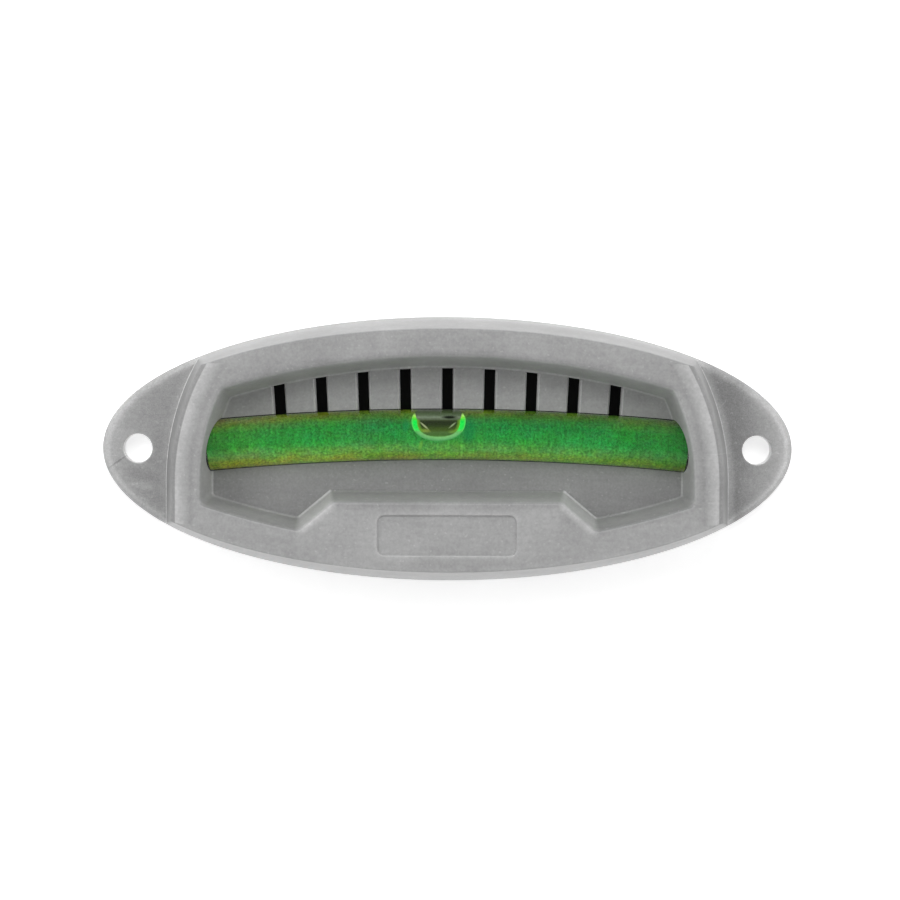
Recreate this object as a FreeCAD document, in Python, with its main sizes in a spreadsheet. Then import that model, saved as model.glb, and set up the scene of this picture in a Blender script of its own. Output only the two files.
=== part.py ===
import FreeCAD, Part
import math
import os

import Sketcher

# A wall-mounted bubble level: a moulded housing with a curved vial across its face, tick slots above
# the vial and a screw hole in each ear. Millimetres and degrees. X runs to the right, Z up, and the
# face looks towards -Y. The origin lies on the back plane, midway between the two screw holes.
# A depth is a distance in front of that back plane, a rise is a height above the line of the screw
# holes, and a drop is a height below it. An inset or a growth is how much smaller or larger than the
# real one an outline is drawn, all round.

Vector = FreeCAD.Vector
Constraint = Sketcher.Constraint
TOWARDS_VIEWER = Vector(0, 0, 1)

DIMENSIONS = [
    ("body_length", 132.0, "housing, ear to ear"),
    ("body_height", 50.5, "housing, bottom to top"),
    ("body_depth", 15.0, "back plane to front face"),
    ("ear_depth", 3.0, "thickness of the two ears"),
    ("wall", 2.0, "moulded wall"),
    ("wall_draft", 9.5, "lean of the outer walls, for the mould"),
    ("ear_length", 12.5, "tip of an ear to the foot of the step beside it"),
    ("step_radius", 47.0, "curve of that step"),
    ("step_bend_drop", 6.0, "where the curve of the step begins"),
    ("step_sweep", 40.0, "turn of that curve"),
    ("step_rounding", 1.5, "rounding of the front edge above the step"),
    ("ear_rounding", 1.0, "rounding of the ears' edge"),
    ("hole_margin", 7.0, "tip of an ear to the middle of its screw hole"),
    ("hole_diameter", 5.5, "screw holes"),
    ("tray_depth", 7.7, "front face to the tray's floor"),
    ("tray_draft", 12.0, "lean of the tray's walls"),
    ("tray_curve", 146.0, "radius of the tray's top and bottom edges"),
    ("rim_width", 5.2, "front face above and below the tray, at the middle"),
    ("strip_width", 5.3, "front face between the step and the tray"),
    ("tray_corner", 0.9, "rounding in the tray's corners"),
    ("tray_edge", 0.4, "bevel of the tray's front edge"),
    ("floor_thickness", 2.2, "tray's floor"),
    ("shelf_drop", 9.6, "the shelf under the vial"),
    ("shelf_length", 42.8, "that shelf's edge"),
    ("shelf_slope", 40.0, "fall of the shelf's two ends"),
    ("panel_margin", 8.4, "end of the shelf to a plain sunk panel on it"),
    ("panel_height", 7.6, "that panel, bottom to top"),
    ("panel_gap", 2.5, "the shelf's edge to the panel"),
    ("panel_sink", 0.4, "the panel's depth"),
    ("panel_corner", 1.6, "the panel's corners"),
    ("vial_diameter", 9.5, "outside of the vial"),
    ("vial_bore", 7.7, "inside of the vial"),
    ("vial_curve", 458.5, "radius of the vial's bend"),
    ("vial_rise", 2.9, "the vial's axis, at the middle"),
    ("vial_margin", 5.0, "end of the vial to the foot of the step"),
    ("plug_length", 3.0, "stopper in each end of the vial"),
    ("vial_clearance", 0.15, "round the vial where the housing and the cover hold it"),
    ("liquid_clearance", 0.05, "round what fills the vial, and from the liquid to the stoppers"),
    ("bubble_length", 10.2, "air bubble along the vial"),
    ("bubble_width", 7.0, "air bubble across, before the vial's roof flattens it"),
    ("bubble_bands", 6, "cone-shaped bands that make up the bubble's long rounded form"),
    ("bubble_drop", 0.85, "lowest point of the bubble under the vial's axis"),
    ("bubble_angle", -0.206, "where the bubble stands on the scale"),
    ("bubble_clearance", 0.12, "round the bubble"),
    ("tick_count", 9, "tick slots"),
    ("tick_pitch", 0.977, "angle from tick to tick, about the centre of the vial's bend"),
    ("tick_width", 2.0, "slot at the rear of the floor"),
    ("tick_flare", 0.42, "how much wider a slot is at the front, on each side"),
    ("tick_margin", 0.5, "top of the middle slot to the foot of the tray's wall"),
    ("tick_line_flattening", 14.0, "how much wider the tops' curve is than the wall's foot"),
    ("backing_thickness", 1.2, "black strip behind the tick slots"),
    ("backing_end", 6.0, "how far the strip passes the outermost slots"),
    ("backing_margin", 0.8, "how far the strip passes the tops of the slots"),
    ("cover_thickness", 1.5, "back cover"),
    ("cover_ledge", 0.8, "ledge that the cover seats on"),
    ("cover_clearance", 0.15, "round the cover"),
    ("saddle_grip", 2.2, "length of vial that lies in each of the cover's saddles"),
    ("saddle_stop", 0.9, "wall of the saddle past the vial's end"),
    ("saddle_height", 8.0, "that saddle, bottom to top"),
    ("saddle_reach", 3.4, "the saddle, in front of the cover"),
    ("rib_count", 3, "cover's ribs behind the strip"),
    ("rib_inset", 12.0, "end of the strip to the nearest rib"),
    ("rib_thickness", 1.4, "those ribs"),
    ("rib_height", 5.0, "the ribs, bottom to top"),
    ("rib_gap", 1.25, "the vial to the ribs, at the middle"),
    ("tab_length", 6.0, "cover's locating tabs, left to right"),
    ("tab_width", 1.8, "those tabs, bottom to top"),
    ("tab_reach", 3.2, "those tabs, in front of the cover"),
    ("tab_clearance", 0.05, "round each tab, and past its tip"),
    ("socket_wall", 1.4, "housing's sockets for the tabs"),
    ("shelf_tab_inset", 6.4, "end of the shelf to the middle of the nearest tab behind it"),
    ("shelf_tab_gap", 7.0, "the shelf's edge to the middle of the two tabs behind it"),
    ("tray_tab_inset", 15.5, "foot of the step to the middle of the nearest tab behind the tray"),
    ("tray_tab_drop", 8.6, "the middle of the two tabs behind the tray"),
    ("margin", 6.0, "how far a cutting tool runs past the outline"),
]

doc = FreeCAD.newDocument("bubble_level")
sheet = doc.addObject("Spreadsheet::Sheet", "dims")
size = {}
for row, (alias, value, meaning) in enumerate(DIMENSIONS, start=1):
    sheet.set(f"A{row}", alias)
    sheet.set(f"B{row}", str(value))
    sheet.set(f"C{row}", meaning)
    sheet.setAlias(f"B{row}", alias)
    size[alias] = value
doc.recompute()

# Sizes that several pieces share, as formulas of the sheet's cells.
BACK = "0"
FRONT = "dims.body_depth"
STEP_HALF_WIDTH = "(dims.body_length / 2 - dims.ear_length)"
FLOOR_FRONT = "(dims.body_depth - dims.tray_depth)"
FLOOR_REAR = "(dims.body_depth - dims.tray_depth - dims.floor_thickness)"
FLOOR_GROWTH = "(0 - dims.tray_depth * tan(dims.tray_draft))"
TRAY_REACH = "(dims.body_height / 2 - dims.body_depth * tan(dims.wall_draft) - dims.rim_width)"
TRAY_CENTRE = f"(dims.tray_curve - {TRAY_REACH})"
STEP_HEIGHT = "(dims.body_depth - dims.ear_depth)"
TRAY_SIDE = f"(dims.step_radius - {STEP_HEIGHT} * tan(dims.wall_draft) - dims.strip_width)"
STEP_CENTRE = f"({STEP_HALF_WIDTH} - dims.step_radius)"
BEND_CENTRE = "(dims.vial_rise - dims.vial_curve)"
VIAL_LENGTH = f"(2 * ({STEP_HALF_WIDTH} - dims.vial_margin))"
VIAL_RADIUS = "(dims.vial_diameter / 2)"
SEAT_RADIUS = "(dims.vial_diameter / 2 + dims.vial_clearance)"
FILL_RADIUS = "(dims.vial_bore / 2 - dims.liquid_clearance)"
VIAL_HALF_ANGLE = f"asin({VIAL_LENGTH} / 2 / dims.vial_curve)"
SEAT_HALF_ANGLE = f"asin(({VIAL_LENGTH} / 2 + dims.vial_clearance) / dims.vial_curve)"
PLUG_ANGLE = "((dims.plug_length + dims.liquid_clearance) / dims.vial_curve * 1 rad)"
FIRST_TICK_ANGLE = "((dims.tick_count - 1) / 2 * dims.tick_pitch)"
TICK_LINE_RADIUS = f"(dims.tray_curve + {FLOOR_GROWTH} + dims.tick_line_flattening)"
TICK_LINE_CENTRE = f"({TRAY_REACH} + {FLOOR_GROWTH} - dims.tick_margin - {TICK_LINE_RADIUS})"
BACKING_LENGTH = f"(2 * (dims.vial_curve * sin({FIRST_TICK_ANGLE}) + dims.backing_end))"
HOLE_SPACING = "(dims.body_length - 2 * dims.hole_margin)"
SHELF_TABS = (
    "(dims.shelf_length - 2 * dims.shelf_tab_inset)",
    "(dims.shelf_drop + dims.shelf_tab_gap)",
)
TRAY_TABS = (f"(2 * ({STEP_HALF_WIDTH} - dims.tray_tab_inset))", "dims.tray_tab_drop")


def value_of(formula):
    """The present value of a formula of the sheet's cells."""
    return float(sheet.evalExpression(formula))


def origin_plane(body, role):
    return next(item for item in body.Origin.OriginFeatures if item.Role == role)


def new_body(label):
    body = doc.addObject("PartDesign::Body", label)
    body.Label = label
    return body


def attach(item, body, role, base, turn=None, axis=TOWARDS_VIEWER):
    """Puts a sketch on an origin plane, moved in that plane's own axes and turned about one."""
    item.AttachmentSupport = [(origin_plane(body, role), "")]
    item.MapMode = "FlatFace"
    item.AttachmentOffset = FreeCAD.Placement(Vector(), FreeCAD.Rotation(axis, 1 if turn else 0))
    for letter, formula in base.items():
        item.setExpression(f".AttachmentOffset.Base.{letter}", formula)
    if turn:
        item.setExpression(".AttachmentOffset.Rotation.Angle", turn)


def front_sketch(body, name, depth, rise="0", turn=None):
    """A sketch that faces the viewer at a depth, with its own origin at a rise."""
    sketch = body.newObject("Sketcher::SketchObject", name)
    attach(sketch, body, "XZ_Plane", {"y": rise, "z": depth}, turn)
    return sketch


def fix(sketch, formula, kind, *where):
    """A length in a sketch, bound to a formula of the sheet's cells."""
    number = sketch.addConstraint(Constraint(kind, *where, value_of(formula)))
    name_size(sketch, number, formula)


def fix_angle(sketch, formula, *where):
    """An angle in a sketch, in degrees, bound to a formula of the sheet's cells."""
    number = sketch.addConstraint(Constraint("Angle", *where, math.radians(value_of(formula))))
    name_size(sketch, number, f"({formula}) * 1 deg")


def name_size(sketch, number, formula):
    name = f"size_{number}"
    sketch.renameConstraint(number, name)
    sketch.setExpression(f"Constraints.{name}", formula)


def hold(sketch, kind, *edges):
    for edge in edges:
        sketch.addConstraint(Constraint(kind, edge))


def join_ends(sketch, count, smooth=()):
    """Closes a chain of edges, each of which starts where the last one ends, some of them smoothly."""
    for edge in range(count):
        kind = "Tangent" if edge in smooth else "Coincident"
        sketch.addConstraint(Constraint(kind, edge, 2, (edge + 1) % count, 1))


def circle_of(centre, radius):
    return Part.Circle(centre, TOWARDS_VIEWER, radius)


def arc_between(circle, start, end):
    """The part of a circle that runs anticlockwise from one point to another."""
    return Part.ArcOfCircle(circle, circle.parameter(start), circle.parameter(end))


def other_side(point):
    return Vector(-point.x, point.y, 0)


def meetings(curve, other):
    """Where two curves of a sketch meet, on the right."""
    points = [Vector(point.X, point.Y, 0) for point in curve.intersect(other)]
    return [point for point in points if point.x > 0]


def set_tip(body, feature):
    body.Tip = feature
    doc.recompute()
    return feature


def loft(body, kind, name, profile, *sections):
    feature = body.newObject(f"PartDesign::{kind}Loft", name)
    feature.Profile = profile
    feature.Sections = list(sections)
    feature.Ruled = True
    return set_tip(body, feature)


def extrude(body, kind, name, sketch, length, towards_viewer=True):
    """A Pad or a Pocket of a front sketch, towards the viewer or away."""
    feature = body.newObject(f"PartDesign::{kind}", name)
    feature.Profile = sketch
    feature.setExpression("Length", length)
    feature.Reversed = towards_viewer if kind == "Pocket" else not towards_viewer
    return set_tip(body, feature)


def mirror(body, name, original):
    """Repeats a feature on the other side of the middle."""
    feature = body.newObject("PartDesign::Mirrored", name)
    feature.Originals = [original]
    feature.MirrorPlane = (origin_plane(body, "YZ_Plane"), [""])
    return set_tip(body, feature)


def combine(body, kind, name, tools):
    """Cuts tool bodies out of a body, or keeps only what it shares with them."""
    feature = body.newObject("PartDesign::Boolean", name)
    feature.Type = kind
    feature.addObjects(tools)
    return set_tip(body, feature)


def dress_edges(body, kind, name, amount, chosen):
    """A Fillet or a Chamfer on the edges of a body that pass a test."""
    base = body.Tip
    edges = enumerate(base.Shape.Edges, start=1)
    names = [f"Edge{number}" for number, edge in edges if chosen(edge)]
    feature = body.newObject(f"PartDesign::{kind}", name)
    feature.Base = (base, names)
    feature.setExpression("Radius" if kind == "Fillet" else "Size", amount)
    return set_tip(body, feature)


def middle_of(edge):
    return edge.valueAt((edge.FirstParameter + edge.LastParameter) / 2)


def lies_at(edge, depth):
    """Whether an edge lies in the plane at a depth."""
    return all(abs(point.y + value_of(depth)) < 0.01 for point in edge.discretize(5))


def rectangle(sketch, across, rise, length, height):
    """Adds a level rectangle to a sketch, by its middle and its two sizes."""
    first = sketch.GeometryCount
    x, y = value_of(across), value_of(rise)
    half_x, half_y = value_of(length) / 2, value_of(height) / 2
    signs = ((-1, -1), (1, -1), (1, 1), (-1, 1))
    corners = [Vector(x + a * half_x, y + b * half_y, 0) for a, b in signs]
    for number in range(4):
        sketch.addGeometry(Part.LineSegment(corners[number], corners[(number + 1) % 4]), False)
    for number in range(4):
        here, following = first + number, first + (number + 1) % 4
        sketch.addConstraint(Constraint("Coincident", here, 2, following, 1))
    hold(sketch, "Horizontal", first, first + 2)
    hold(sketch, "Vertical", first + 1, first + 3)
    fix(sketch, length, "DistanceX", first, 1, first, 2)
    fix(sketch, height, "DistanceY", first + 1, 1, first + 1, 2)
    fix(sketch, f"{across} - {length} / 2", "DistanceX", -1, 1, first, 1)
    fix(sketch, f"{rise} - {height} / 2", "DistanceY", -1, 1, first, 1)


def circle_pair(sketch, spacing, drop, diameter):
    """Adds two circles to a sketch, one each side of the middle."""
    for hand in (-1, 1):
        number = sketch.GeometryCount
        centre = Vector(hand * value_of(spacing) / 2, -value_of(drop), 0)
        sketch.addGeometry(circle_of(centre, value_of(diameter) / 2), False)
        fix(sketch, f"{hand} * {spacing} / 2", "DistanceX", -1, 1, number, 3)
        fix(sketch, f"0 - {drop}", "DistanceY", -1, 1, number, 3)
        fix(sketch, f"{diameter} / 2", "Radius", number)


def tab_pair(sketch, spacing, drop, growth="0"):
    """Adds the outlines of two of the cover's tabs to a sketch, grown all round."""
    for hand in (-1, 1):
        length = f"(dims.tab_length + 2 * {growth})"
        width = f"(dims.tab_width + 2 * {growth})"
        rectangle(sketch, f"({hand} * {spacing} / 2)", f"(0 - {drop})", length, width)


def band(sketch, upper_centre, upper_radius, lower_centre, lower_radius, length):
    """Adds the space between two arcs that bend the same way, cut off upright at both ends."""
    half = value_of(length) / 2
    upper = circle_of(Vector(0, value_of(upper_centre), 0), value_of(upper_radius))
    lower = circle_of(Vector(0, value_of(lower_centre), 0), value_of(lower_radius))
    top = Vector(half, upper.Center.y + math.sqrt(upper.Radius**2 - half**2), 0)
    bottom = Vector(half, lower.Center.y + math.sqrt(lower.Radius**2 - half**2), 0)
    edges = [
        arc_between(upper, top, other_side(top)),
        Part.LineSegment(other_side(top), other_side(bottom)),
        arc_between(lower, bottom, other_side(bottom)),
        Part.LineSegment(bottom, top),
    ]
    sketch.addGeometry(edges, False)
    for one, other in (((0, 2), (1, 1)), ((1, 2), (2, 2)), ((2, 1), (3, 1)), ((3, 2), (0, 1))):
        sketch.addConstraint(Constraint("Coincident", *one, *other))
    hold(sketch, "Vertical", 1, 3)
    for edge, centre, radius in ((0, upper_centre, upper_radius), (2, lower_centre, lower_radius)):
        sketch.addConstraint(Constraint("PointOnObject", edge, 3, -2))
        fix(sketch, centre, "DistanceY", -1, 1, edge, 3)
        fix(sketch, radius, "Radius", edge)
    fix(sketch, f"{length} / 2", "DistanceX", -1, 1, 3, 1)
    fix(sketch, f"0 - {length} / 2", "DistanceX", -1, 1, 1, 1)


def ellipse_sketch(body, name, depth, inset):
    """The housing's outline at a depth, drawn smaller all round by an inset."""
    sketch = front_sketch(body, name, depth)
    lean = f"({inset} + {depth} * tan(dims.wall_draft))"
    half_length = value_of(f"dims.body_length / 2 - {lean}")
    half_height = value_of(f"dims.body_height / 2 - {lean}")
    ellipse = Part.Ellipse(Vector(half_length, 0, 0), Vector(0, half_height, 0), Vector())
    sketch.addGeometry(ellipse, False)
    sketch.exposeInternalGeometry(0)
    sketch.addConstraint(Constraint("Coincident", 0, 3, -1, 1))
    hold(sketch, "Horizontal", 1)
    fix(sketch, f"dims.body_length - 2 * {lean}", "Distance", 1)
    fix(sketch, f"dims.body_height - 2 * {lean}", "Distance", 2)
    return sketch


def relief_sketch(body, name, depth, inset):
    """All that lies outside the right-hand step at a depth. The step is upright, then curves in."""
    sketch = front_sketch(body, name, depth)
    radius = f"(dims.step_radius - {inset} - ({depth} - dims.ear_depth) * tan(dims.wall_draft))"
    reach_x = "(dims.body_length / 2 + dims.margin)"
    reach_z = "(dims.body_height / 2 + dims.margin)"
    centre = Vector(value_of(STEP_CENTRE), -size["step_bend_drop"], 0)
    sweep = math.radians(size["step_sweep"])
    far_x = value_of(reach_x)
    far_z = value_of(reach_z)
    bend_start = centre + Vector(value_of(radius), 0, 0)
    bend_end = centre + Vector(math.cos(sweep), math.sin(sweep), 0) * value_of(radius)
    tangent_end = bend_end + Vector(-math.tan(sweep), 1, 0) * (far_z - bend_end.y)
    corners = [Vector(far_x, far_z, 0), Vector(far_x, -far_z, 0), Vector(bend_start.x, -far_z, 0)]
    edges = [
        Part.LineSegment(corners[2], bend_start),
        arc_between(circle_of(centre, value_of(radius)), bend_start, bend_end),
        Part.LineSegment(bend_end, tangent_end),
        Part.LineSegment(tangent_end, corners[0]),
        Part.LineSegment(corners[0], corners[1]),
        Part.LineSegment(corners[1], corners[2]),
    ]
    sketch.addGeometry(edges, False)
    join_ends(sketch, len(edges), smooth=(0, 1))
    hold(sketch, "Vertical", 0, 4)
    hold(sketch, "Horizontal", 3, 5)
    fix(sketch, STEP_CENTRE, "DistanceX", -1, 1, 1, 3)
    fix(sketch, "0 - dims.step_bend_drop", "DistanceY", -1, 1, 1, 3)
    fix(sketch, radius, "Radius", 1)
    fix_angle(sketch, "90 + dims.step_sweep", 2)
    fix(sketch, reach_x, "DistanceX", -1, 1, 4, 1)
    fix(sketch, reach_z, "DistanceY", -1, 1, 4, 1)
    fix(sketch, f"0 - {reach_z}", "DistanceY", -1, 1, 4, 2)
    return sketch


def tray_sketch(body, name, depth, growth):
    """The tray's outline at a depth: a curved top and bottom, sides like the steps, and the shelf."""
    sketch = front_sketch(body, name, depth)
    curve = f"(dims.tray_curve + {growth})"
    side = f"({TRAY_SIDE} + {growth})"
    shelf_drop = f"(dims.shelf_drop + {growth})"
    shelf_length = f"(dims.shelf_length - 2 * {growth} * tan(dims.shelf_slope / 2))"

    slope = math.radians(size["shelf_slope"])
    top_circle = circle_of(Vector(0, -value_of(TRAY_CENTRE), 0), value_of(curve))
    bottom_circle = circle_of(Vector(0, value_of(TRAY_CENTRE), 0), value_of(curve))
    side_centre = Vector(value_of(STEP_CENTRE), -size["step_bend_drop"], 0)
    side_circle = circle_of(side_centre, value_of(side))
    other_side_circle = circle_of(other_side(side_centre), value_of(side))
    bend = side_centre + Vector(value_of(side), 0, 0)
    top_corner = max(meetings(top_circle, side_circle), key=lambda point: point.y)
    low_reach = math.sqrt(value_of(curve) ** 2 - bend.x**2)
    low_corner = Vector(bend.x, value_of(TRAY_CENTRE) - low_reach, 0)
    shelf_end = Vector(value_of(shelf_length) / 2, -value_of(shelf_drop), 0)
    slant = Part.Line(shelf_end, shelf_end + Vector(math.cos(slope), -math.sin(slope), 0))
    slant_ends = meetings(slant, bottom_circle)
    slant_end = min(slant_ends, key=lambda point: point.distanceToPoint(shelf_end))
    edges = [
        arc_between(top_circle, top_corner, other_side(top_corner)),
        arc_between(other_side_circle, other_side(top_corner), other_side(bend)),
        Part.LineSegment(other_side(bend), other_side(low_corner)),
        arc_between(bottom_circle, other_side(low_corner), other_side(slant_end)),
        Part.LineSegment(other_side(slant_end), other_side(shelf_end)),
        Part.LineSegment(other_side(shelf_end), shelf_end),
        Part.LineSegment(shelf_end, slant_end),
        arc_between(bottom_circle, slant_end, low_corner),
        Part.LineSegment(low_corner, bend),
        arc_between(side_circle, bend, top_corner),
    ]
    sketch.addGeometry(edges, False)
    join_ends(sketch, len(edges), smooth=(1, 8))
    hold(sketch, "Vertical", 2, 8)
    hold(sketch, "Horizontal", 5)
    for edge, centre in ((0, f"0 - {TRAY_CENTRE}"), (3, TRAY_CENTRE), (7, TRAY_CENTRE)):
        sketch.addConstraint(Constraint("PointOnObject", edge, 3, -2))
        fix(sketch, centre, "DistanceY", -1, 1, edge, 3)
        fix(sketch, curve, "Radius", edge)
    for edge, hand in ((1, -1), (9, 1)):
        fix(sketch, f"{hand} * {STEP_CENTRE}", "DistanceX", -1, 1, edge, 3)
        fix(sketch, "0 - dims.step_bend_drop", "DistanceY", -1, 1, edge, 3)
        fix(sketch, side, "Radius", edge)
    for end, hand in ((1, -1), (2, 1)):
        fix(sketch, f"{hand} * {shelf_length} / 2", "DistanceX", -1, 1, 5, end)
    fix(sketch, f"0 - {shelf_drop}", "DistanceY", -1, 1, 5, 1)
    fix_angle(sketch, "dims.shelf_slope", 4)
    fix_angle(sketch, "0 - dims.shelf_slope", 6)
    return sketch


def vial_sketch(body, name, outer_radius, inner_radius=None, turn=None):
    """A disc or a ring round the vial's axis. Its horizontal axis passes the centre of the bend."""
    sketch = body.newObject("Sketcher::SketchObject", name)
    attach(sketch, body, "YZ_Plane", {"y": BEND_CENTRE}, turn, axis=Vector(1, 0, 0))
    centre = Vector(-value_of(FLOOR_FRONT), size["vial_curve"], 0)
    for number, radius in enumerate(filter(None, (outer_radius, inner_radius))):
        sketch.addGeometry(circle_of(centre, value_of(radius)), False)
        fix(sketch, f"0 - {FLOOR_FRONT}", "DistanceX", -1, 1, number, 3)
        fix(sketch, "dims.vial_curve", "DistanceY", -1, 1, number, 3)
        fix(sketch, radius, "Radius", number)
    return sketch


def bend_along(body, kind, name, sketch, angle, both_ways=True):
    """Sweeps a vial sketch round the centre of the vial's bend, as a Revolution or a Groove."""
    feature = body.newObject(f"PartDesign::{kind}", name)
    feature.Profile = sketch
    feature.ReferenceAxis = (sketch, ["H_Axis"])
    feature.Midplane = both_ways
    feature.setExpression("Angle", angle)
    return set_tip(body, feature)


def straight_along(body, sketch, length, both_ways=False):
    """A short straight Pad of a vial sketch, where the vial's bend makes no difference."""
    feature = body.newObject("PartDesign::Pad", "straight")
    feature.Profile = sketch
    feature.Midplane = both_ways
    feature.setExpression("Length", length)
    return set_tip(body, feature)


def rounding_bands(front, radius):
    """Depths and insets of a rounding's four outlines, between a leaning side and a flat front."""
    level = f"({front} - {radius})"
    centre = f"({level} * tan(dims.wall_draft) + {radius} / cos(dims.wall_draft))"
    bands = []
    for number in range(4):
        turn = f"(dims.wall_draft + {number} / 3 * (90 - dims.wall_draft))"
        depth = f"({level} + {radius} * sin({turn}))"
        inset = f"({centre} - {radius} * cos({turn}) - {depth} * tan(dims.wall_draft))"
        bands.append((depth, inset))
    return bands


STEP_OUTLINES = [(BACK, "0"), *rounding_bands(FRONT, "dims.step_rounding")]


def beyond_steps(body, kind, outlines):
    """All that lies outside the two steps, through outlines that are given by depth and inset."""
    sketches = [relief_sketch(body, "step_outline", depth, inset) for depth, inset in outlines]
    right = loft(body, kind, "step", *sketches)
    mirror(body, "steps", right)


def lens_form(body, outlines):
    """The housing's lens form as a solid, through outlines that are given by depth and inset."""
    sketches = [ellipse_sketch(body, "lens_outline", depth, inset) for depth, inset in outlines]
    loft(body, "Additive", "lens", *sketches)


def raised_form(body, inset, front):
    """The housing's raised middle, from the back plane to a depth, smaller all round by an inset."""
    outlines = [(BACK, inset), (front, inset)]
    lens_form(body, outlines)
    beyond_steps(body, "Subtractive", outlines)


def tray_form(body, kind, name, rear, rear_growth, front, front_growth):
    """The tray's outline as a solid with leaning walls, between two depths."""
    rear_outline = tray_sketch(body, f"{name}_rear", rear, rear_growth)
    front_outline = tray_sketch(body, f"{name}_front", front, front_growth)
    return loft(body, kind, name, rear_outline, front_outline)


def bubble_form(body, kind, clearance):
    """The bubble's long rounded form in bands, where it stands, grown all round by a clearance."""
    to_centre = "(dims.vial_curve + dims.bubble_width / 2 - dims.bubble_drop)"
    sketch = body.newObject("Sketcher::SketchObject", "bubble_section")
    base = {
        "x": f"{to_centre} * sin(dims.bubble_angle)",
        "y": f"{BEND_CENTRE} + {to_centre} * cos(dims.bubble_angle)",
        "z": FLOOR_FRONT,
    }
    attach(sketch, body, "XZ_Plane", base, turn="0 - dims.bubble_angle")
    bands = size["bubble_bands"]
    across = [
        f"((dims.bubble_length / 2 + {clearance}) * cos(180 * {number} / dims.bubble_bands))"
        for number in range(bands + 1)
    ]
    up = [
        f"((dims.bubble_width / 2 + {clearance}) * sin(180 * {number} / dims.bubble_bands))"
        for number in range(1, bands)
    ]
    rises = ["0", *up, "0"]
    points = [Vector(value_of(x), value_of(y), 0) for x, y in zip(across, rises)]
    edges = [Part.LineSegment(start, end) for start, end in zip(points, points[1:] + points[:1])]
    sketch.addGeometry(edges, False)
    join_ends(sketch, len(edges))
    for number, (x, y) in enumerate(zip(across, rises)):
        fix(sketch, x, "DistanceX", -1, 1, number, 1)
        if number in (0, bands):
            sketch.addConstraint(Constraint("PointOnObject", number, 1, -1))
        else:
            fix(sketch, y, "DistanceY", -1, 1, number, 1)
    feature = body.newObject(f"PartDesign::{kind}", "bubble")
    feature.Profile = sketch
    feature.ReferenceAxis = (sketch, ["H_Axis"])
    feature.Angle = 360
    return set_tip(body, feature)


def make_hollow():
    """The space inside the housing: the raised form, smaller by a wall, and open at the back."""
    core = new_body("core_tool")
    raised_form(core, "dims.wall", "(dims.body_depth - dims.wall)")
    return core


def make_cover_rebate():
    """The shallow seat round the back opening, which the cover drops into."""
    rebate = new_body("rebate_tool")
    raised_form(rebate, "(dims.wall - dims.cover_ledge)", "dims.cover_thickness")
    return rebate


def make_ears():
    """The two flat ends that the screws go through, with a rounded edge."""
    ears = new_body("ear_tool")
    beyond_steps(ears, "Additive", STEP_OUTLINES)
    plate = new_body("plate_tool")
    lens_form(plate, [(BACK, "0"), *rounding_bands("dims.ear_depth", "dims.ear_rounding")])
    combine(ears, "Common", "trimmed", [plate])
    return ears


def make_tick_slots():
    """The flared slots over the vial, fanned about the centre of its bend, with tops in one curve."""
    slots = new_body("slot_tool")
    height = f"({TRAY_REACH} - dims.vial_rise + dims.margin)"
    sketches = []
    for name, depth, width in (
        ("slot_rear", FLOOR_REAR, "dims.tick_width"),
        ("slot_front", FLOOR_FRONT, "(dims.tick_width + 2 * dims.tick_flare)"),
    ):
        sketch = front_sketch(slots, name, depth, BEND_CENTRE, FIRST_TICK_ANGLE)
        rectangle(sketch, "0", f"(dims.vial_curve + {height} / 2)", width, height)
        sketches.append(sketch)
    slot = loft(slots, "Additive", "slot", *sketches)
    fan = slots.newObject("PartDesign::PolarPattern", "fan")
    fan.Originals = [slot]
    fan.Axis = (sketches[0], ["N_Axis"])
    fan.Reversed = True
    fan.setExpression("Angle", f"2 * {FIRST_TICK_ANGLE}")
    fan.setExpression("Occurrences", "dims.tick_count")
    set_tip(slots, fan)

    trimmer = new_body("slot_trimmer")
    limit = front_sketch(trimmer, "limit_sketch", FLOOR_REAR)
    below = f"(dims.vial_curve - {VIAL_RADIUS})"
    band(limit, TICK_LINE_CENTRE, TICK_LINE_RADIUS, BEND_CENTRE, below, BACKING_LENGTH)
    extrude(trimmer, "Pad", "limit", limit, "dims.floor_thickness")
    combine(slots, "Common", "trimmed", [trimmer])
    return slots


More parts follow.
